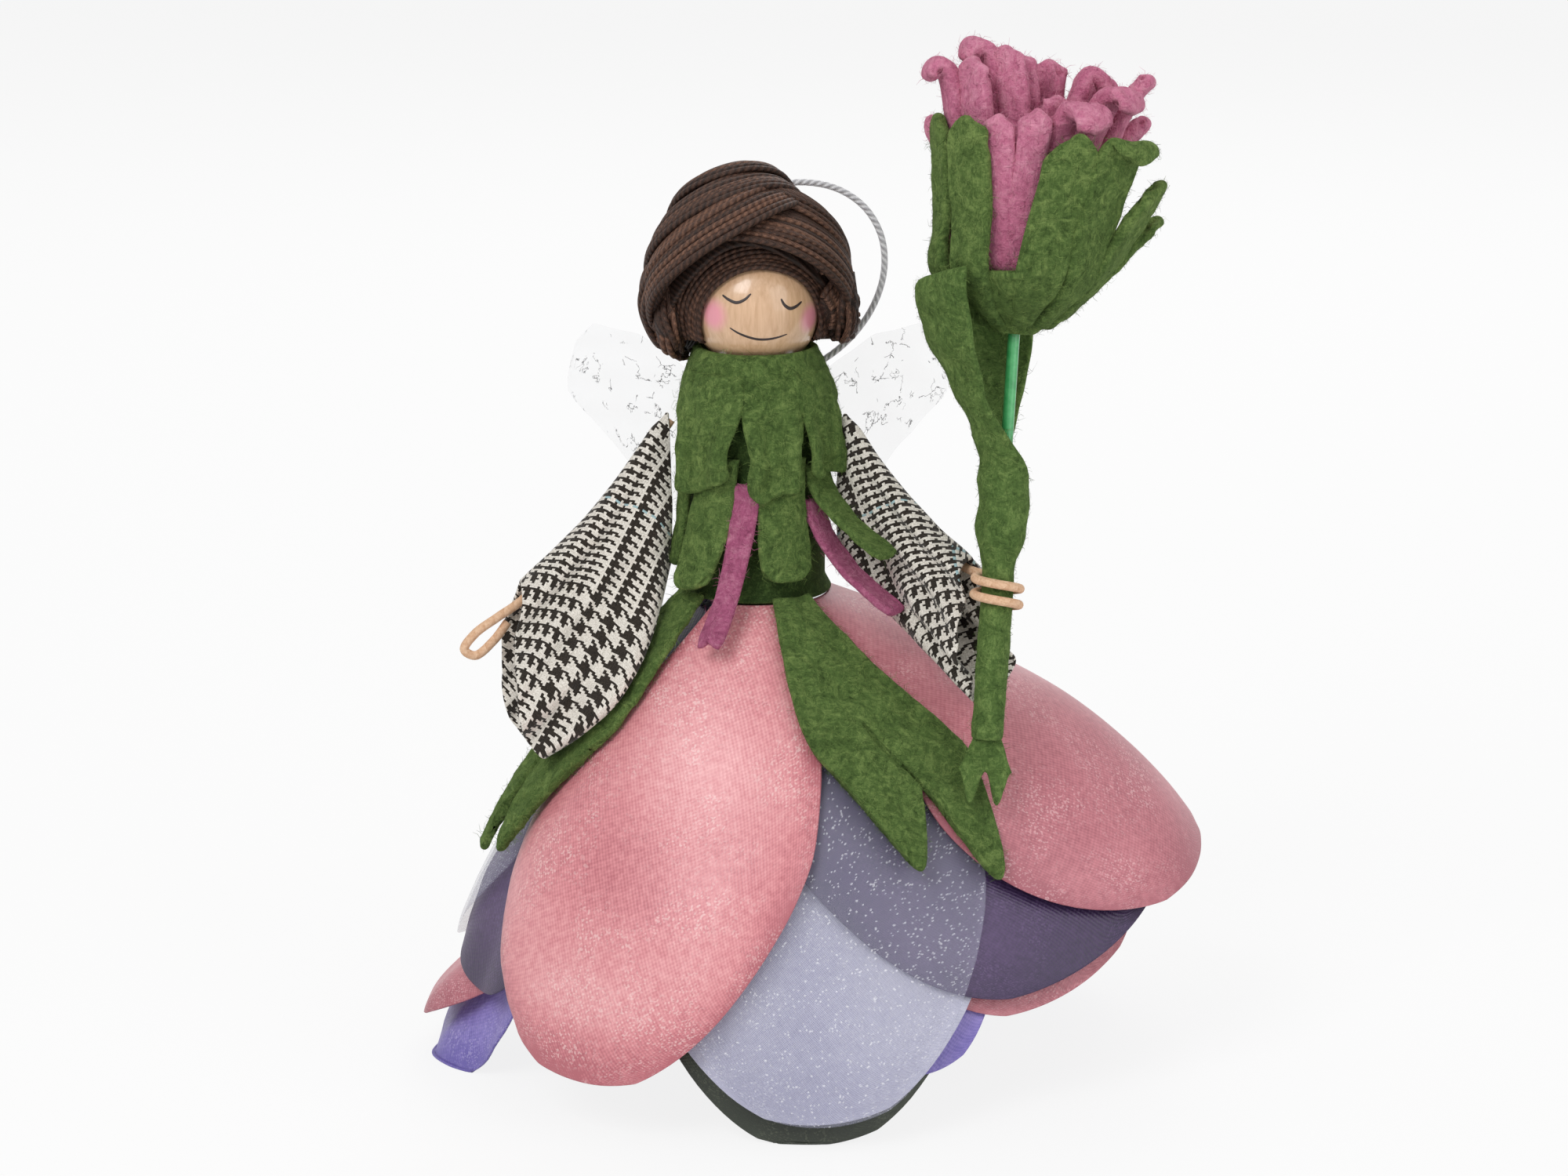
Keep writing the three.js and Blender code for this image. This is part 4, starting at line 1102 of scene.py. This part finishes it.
# Painted shade: tone 0.2 makes the shell darker than the strands over it, as the shade between them.
slab(hair, shell_surface, SHELL_THICKNESS, 40, 90, closed=True, tone=0.2)
around = np.radians(np.linspace(-128, 128, 90))
for k in range(FRONT_STRANDS):
    radius = FRONT_RADIUS + FRONT_RISE * smooth(k, 1, 9) + 0.1 * np.sin(7 * around + 3 * k)
    path = round_face(np.radians(59.5 + 3.1 * k), around) * radius[:, None] + HEAD
    rope(hair, path[path[:, 2] > HEAD[2] + FRONT_LOW], FRONT_YARN, tone=hair_draws.uniform(0.3, 0.7))
latitude = np.linspace(62, -26, 50)
for k in range(NAPE_STRANDS):
    azimuth = 84 + 192 * k / (NAPE_STRANDS - 1) + 4 * np.sin(latitude / 22 + k)
    rope(hair, globe(azimuth, latitude, NAPE_RADIUS) + HEAD, NAPE_YARN, tone=hair_draws.uniform(0.3, 0.7))
hair.mesh("hair_cap_floss", HAIR, "head", "hair_cap", slot="hair_floss")

DOME_CENTRE = np.array([-0.8, 0, 0])
DOME_RADIUS, DOME_RISE = 14.0, 4.3
DOME_SINK, DOME_THICKNESS = -1.2, 0.8
LOCK_RISE, LOCK_YARN, YARN_PITCH = 1.5, 0.5, 0.86

# Locks: half width, then stations of azimuth, latitude and lift on the hair's round
CROWN_LOCKS = (
    (4.4, ((-16, 50, -2.5), (10, 43, -0.6), (36, 33, 0.4), (60, 20, 0.7), (82, 5, 0.5), (100, -12, -0.8))),
    (3.6, ((-50, 35, -1.6), (-72, 25, 0.2), (-90, 13, 1.0), (-103, 0, 0.9), (-110, -14, 0.4),
           (-108, -26, -0.8))),
    (4.6, ((-114, -8, -1.5), (-98, 6, 0), (-66, 21, 0.7), (-34, 34, 1.0), (-4, 45, 1.2), (24, 55, 0.6),
           (50, 63, -1.2), (74, 68, -4))),
    (4.2, ((166, 44, -1.5), (192, 36, -0.4), (218, 26, 0.4), (242, 13, 0.6), (262, 0, 0.3),
           (280, -14, -0.8))),
    (4.0, ((88, -20, -1), (118, -9, 0.3), (150, -2, 0.5), (180, 2, 0.6), (210, 0, 0.5), (240, -8, 0.3),
           (270, -20, -1))),
    (4.4, ((66, -14, -1.5), (84, 0, 0), (114, 15, 0.6), (146, 27, 0.8), (176, 38, 0.9), (204, 48, 0.6),
           (234, 58, -1.5))))
TOP_LOCKS = (
    (4.0, ((8, 73, -1.2), (44, 59, 0.2), (74, 43, 0.5), (102, 25, 0.4), (124, 6, -0.6))),
    (3.9, ((-130, 18, -1), (-102, 33, 0.2), (-64, 48, 0.5), (-22, 61, 0.7), (30, 69, 0.6), (72, 66, 0),
           (102, 50, -1.5))),
    (3.9, ((50, 18, -1), (78, 33, 0.2), (116, 46, 0.5), (158, 58, 0.6), (210, 65, 0.5), (252, 60, 0),
           (288, 45, -1.2))),
    (4.1, ((-124, 50, -1.2), (-98, 65, 0.6), (-50, 77, 1.3), (40, 83, 1.6), (108, 75, 0.9), (136, 58, -1))))


def to_head(points):
    """From the tilted crown's axes to the doll's."""
    back = turned(np.asarray(points, float), (1, 0, 0), -17)
    return turned(back, (0, 1, 0), -7) + HEAD


def fullness(count):
    """Width along a bundle that is drawn together at its ends."""
    return 0.55 + 0.45 * np.sin(np.pi * np.linspace(0, 1, count)) ** 0.5


def tress(form, path, out, half, rise, yarns, thickness, r):
    """Yarns side by side along a path, arched towards out and drawn together at the ends."""
    across = unit(np.cross(out, unit(np.gradient(path, axis=0))))
    share = np.linspace(0, 1, len(path))[:, None]
    full = fullness(len(path))[:, None]
    for place in np.linspace(-1, 1, yarns):
        lift = rise * math.sqrt(1 - 0.85 * place * place) + r.normal(0, 0.1)
        stray = 0.12 * np.sin(9 * share + r.uniform(0, 6.28))
        route = path + across * (half * place * full + stray) + out * (lift * full)
        rope(form, route, thickness * r.uniform(0.88, 1.1), 7, tone=r.uniform(0.15, 0.85))


def dome(azimuth, latitude, lift):
    """A spot on the hair's round, in the tilted crown's axes."""
    lat = np.radians(latitude)
    radius = DOME_RADIUS + DOME_RISE * np.sin(lat) ** 2 * (lat > 0) + lift
    return globe(azimuth, latitude, radius) + DOME_CENTRE


def dome_surface(u, v):
    azimuth = -180 * v
    low = -14 + 46 * np.exp(-(azimuth / 62) ** 2)
    return to_head(dome(azimuth, lerp(88.5, low, u), DOME_SINK))


def lock(form, stations, half, r):
    """A bundle of yarns laid over the hair's round, with a filling under them painted dark as the shade
    between the yarns.
    """
    path = spline(dome(*np.array(stations, float).T), 18)
    out = unit(path - DOME_CENTRE)
    bundle = Form()
    # Painted shade: the filling's tone of 0.05 makes it near-black under the yarns.
    rope(bundle, path, 0.92 * half * fullness(len(path)), 16, tone=0.05, flat=0.4, facing=out)
    tress(bundle, path, out, half, LOCK_RISE, round(2 * half / YARN_PITCH) + 1, LOCK_YARN, r)
    form.parts += bundle.moved(to_head).parts


crown, top = Form(), Form()
# Painted shade: the dome's tone of 0.05 makes it near-black, as the shade under and between the locks.
slab(crown, dome_surface, DOME_THICKNESS, 40, 90, closed=True, tone=0.05)
for name, form, locks, seed in (("crown_braid", crown, CROWN_LOCKS, 7), ("top_braid", top, TOP_LOCKS, 8)):
    draws = np.random.default_rng(seed)
    for half, stations in locks:
        lock(form, stations, half, draws)
    form.mesh(name + "_floss", HAIR, "head", name, slot="hair_floss")

HAIR_CAP_RADIUS = 11.4
BRAID_RADIUS, BRAID_TURNS, BRAID_YARN = 2.1, 1.3, 0.48
BRAID_SEAT = HAIR_CAP_RADIUS + CLEARANCE + BRAID_RADIUS
BRAID_LOOPS = (("braid_loop_left", 9, ((-84, 14), (-78, -6), (-84, -20), (-102, -19), (-114, -2))),
               ("braid_loop_right", 10, ((86, 20), (78, 2), (86, -12), (104, -10), (116, 6))))

for name, seed, stations in BRAID_LOOPS:
    azimuth, latitude = np.array(stations, float).T
    path = spline(globe(azimuth, latitude, BRAID_SEAT), 22)
    out = unit(path)
    up = np.cross(unit(np.gradient(path, axis=0)), out)
    draws = np.random.default_rng(seed)
    braid = Form()
    # Painted shade: the core's tone of 0.05 makes it near-black, as the shade between the braid's bundles.
    rope(braid, path + HEAD, BRAID_RADIUS, 14, tone=0.05)
    for bundle in range(3):
        phase = 2 * np.pi * (BRAID_TURNS * np.linspace(0, 1, len(path)) + bundle / 3)[:, None]
        weaving = path + up * 1.2 * np.sin(phase)
        tress(braid, weaving + out * 0.5 * np.sin(2 * phase) + HEAD, out, 1.7, 1.3, 5, BRAID_YARN, draws)
        tress(braid, weaving + HEAD, out, 1.5, -1.3, 4, BRAID_YARN, draws)
    braid.mesh(name + "_floss", HAIR, "head", name, slot="hair_floss")


# Wings of clear film with fine dark creases

WING_ROOT = np.array([0, 14.6, 96])
WING_START, WING_REACH = 1.2, 29.1
WING_TURN = 10
WING_THICKNESS = 0.2


def clear_film(name):
    s = Shader(name, Roughness=0.15, Specular_IOR_Level=0.6)
    cut = s.cut()
    sway = s.texture("Noise", cut, Scale=1.25).outputs["Color"]
    bent = s.node("VectorMath", cut, sway, operation="ADD").outputs[0]
    cells = s.node("TexVoronoi", s.stretched(bent, 0.32, 0.32, 1), feature="DISTANCE_TO_EDGE")
    crease = s.named(cells, Scale=1).outputs["Distance"]
    line = s.math("LESS_THAN", crease, 0.014)
    broken = s.math("MULTIPLY", line, s.math("GREATER_THAN", s.noise(s.place(), 260, 2), 0.55))
    s.look(Base_Color=s.mix(broken, srgb(236, 238, 242), srgb(60, 60, 64)),
           Alpha=s.weigh((broken, 0.6), plus=0.06),
           Normal=s.relief(crease, 0.5, 0.0006))
    return s.material


def wing(name, side, film):
    def surface(u, v):
        upper = np.interp(u, [0, 0.1, 0.35, 0.6, 0.85, 0.95, 1], [-3, 2.2, 10.5, 15.5, 17, 14, 8])
        lower = np.interp(u, [0, 0.1, 0.35, 0.6, 0.75, 0.9, 1], [-8, -11.5, -13.2, -8, -2, 2.5, 6])
        x = side * (WING_START + WING_REACH * u)
        z = lerp(lower, upper, (v + 1) / 2)
        spot = stack(x, 0.3 * np.sin(x * 0.7 + z * 0.5) + 0.25 * np.sin(z * 1.1), z)
        return turned(spot, (0, 0, 1), side * WING_TURN) + WING_ROOT

    form = Form()
    area, run_length = slab(form, surface, WING_THICKNESS, 60, 50)
    obj = form.mesh(name + "_film", film, "figure", name, slot="wing_film")


FILM = clear_film("wing_film")
wing("wing_left", -1, FILM)
wing("wing_right", 1, FILM)


# CAD pieces that stay

for name, material in (("shoulder_wire", PAPER), ("body_wire", PAPER), ("waist_core", GREEN)):
    frame["nodes"][name].data.materials.clear()
    frame["nodes"][name].data.materials.append(material)


# Floor and soft studio light, in metres

FLOOR_HALF = 4
SKY_STRENGTH = 0.45
LAMP_AIM = Vector((0, 0, 0.08))
LAMPS = (("key", (-0.45, -0.75, 0.85), 0.5, 5.4), ("fill", (0.7, -0.6, 0.4), 0.7, 2.2),
         ("back", (0.1, 0.8, 0.7), 0.6, 2.8))


def seen_white(nodes, lit, seen):
    """Joins two shaders so that the camera, glossy and clear rays see the second."""
    path = nodes.node("LightPath").outputs
    ray = path["Is Camera Ray"]
    for extra in ("Is Glossy Ray", "Is Transmission Ray"):
        ray = nodes.math("MAXIMUM", ray, path[extra])
    return nodes.node("MixShader", ray, lit, seen).outputs[0]


world = bpy.data.worlds.new("studio")
scene.world = world
world.use_nodes = True
sky = Nodes(world.node_tree)
lit = sky.named(sky.tree.nodes["Background"], Color=WHITE, Strength=SKY_STRENGTH)
seen = sky.node("Background", WHITE)
sky.feed(sky.tree.nodes["World Output"].inputs[0], seen_white(sky, lit.outputs[0], seen.outputs[0]))

floor_corners = [(x * FLOOR_HALF, y * FLOOR_HALF, 0) for x, y in ((-1, -1), (1, -1), (1, 1), (-1, 1))]
floor_mesh = bpy.data.meshes.new("floor")
floor_mesh.from_pydata(floor_corners, [], [(0, 1, 2, 3)])
floor = bpy.data.objects.new("floor", floor_mesh)
scene.collection.objects.link(floor)
ground = Shader("floor", Base_Color=(0.9, 0.9, 0.9, 1), Roughness=0.9, Specular_IOR_Level=0.1)
dull = ground.bsdf.outputs[0]
lifted = ground.node("MixShader", 0.85, dull, ground.node("Emission", WHITE, 1.0).outputs[0]).outputs[0]
ground.feed(ground.tree.nodes["Material Output"].inputs[0], seen_white(ground, dull, lifted))
floor_mesh.materials.append(ground.material)

for name, place, size, power in LAMPS:
    lamp = bpy.data.lights.new(name, "AREA")
    lamp.size = size
    lamp.energy = power
    lamp_object = bpy.data.objects.new(name, lamp)
    lamp_object.location = place
    lamp_object.rotation_euler = (LAMP_AIM - Vector(place)).to_track_quat("-Z", "Y").to_euler()
    scene.collection.objects.link(lamp_object)
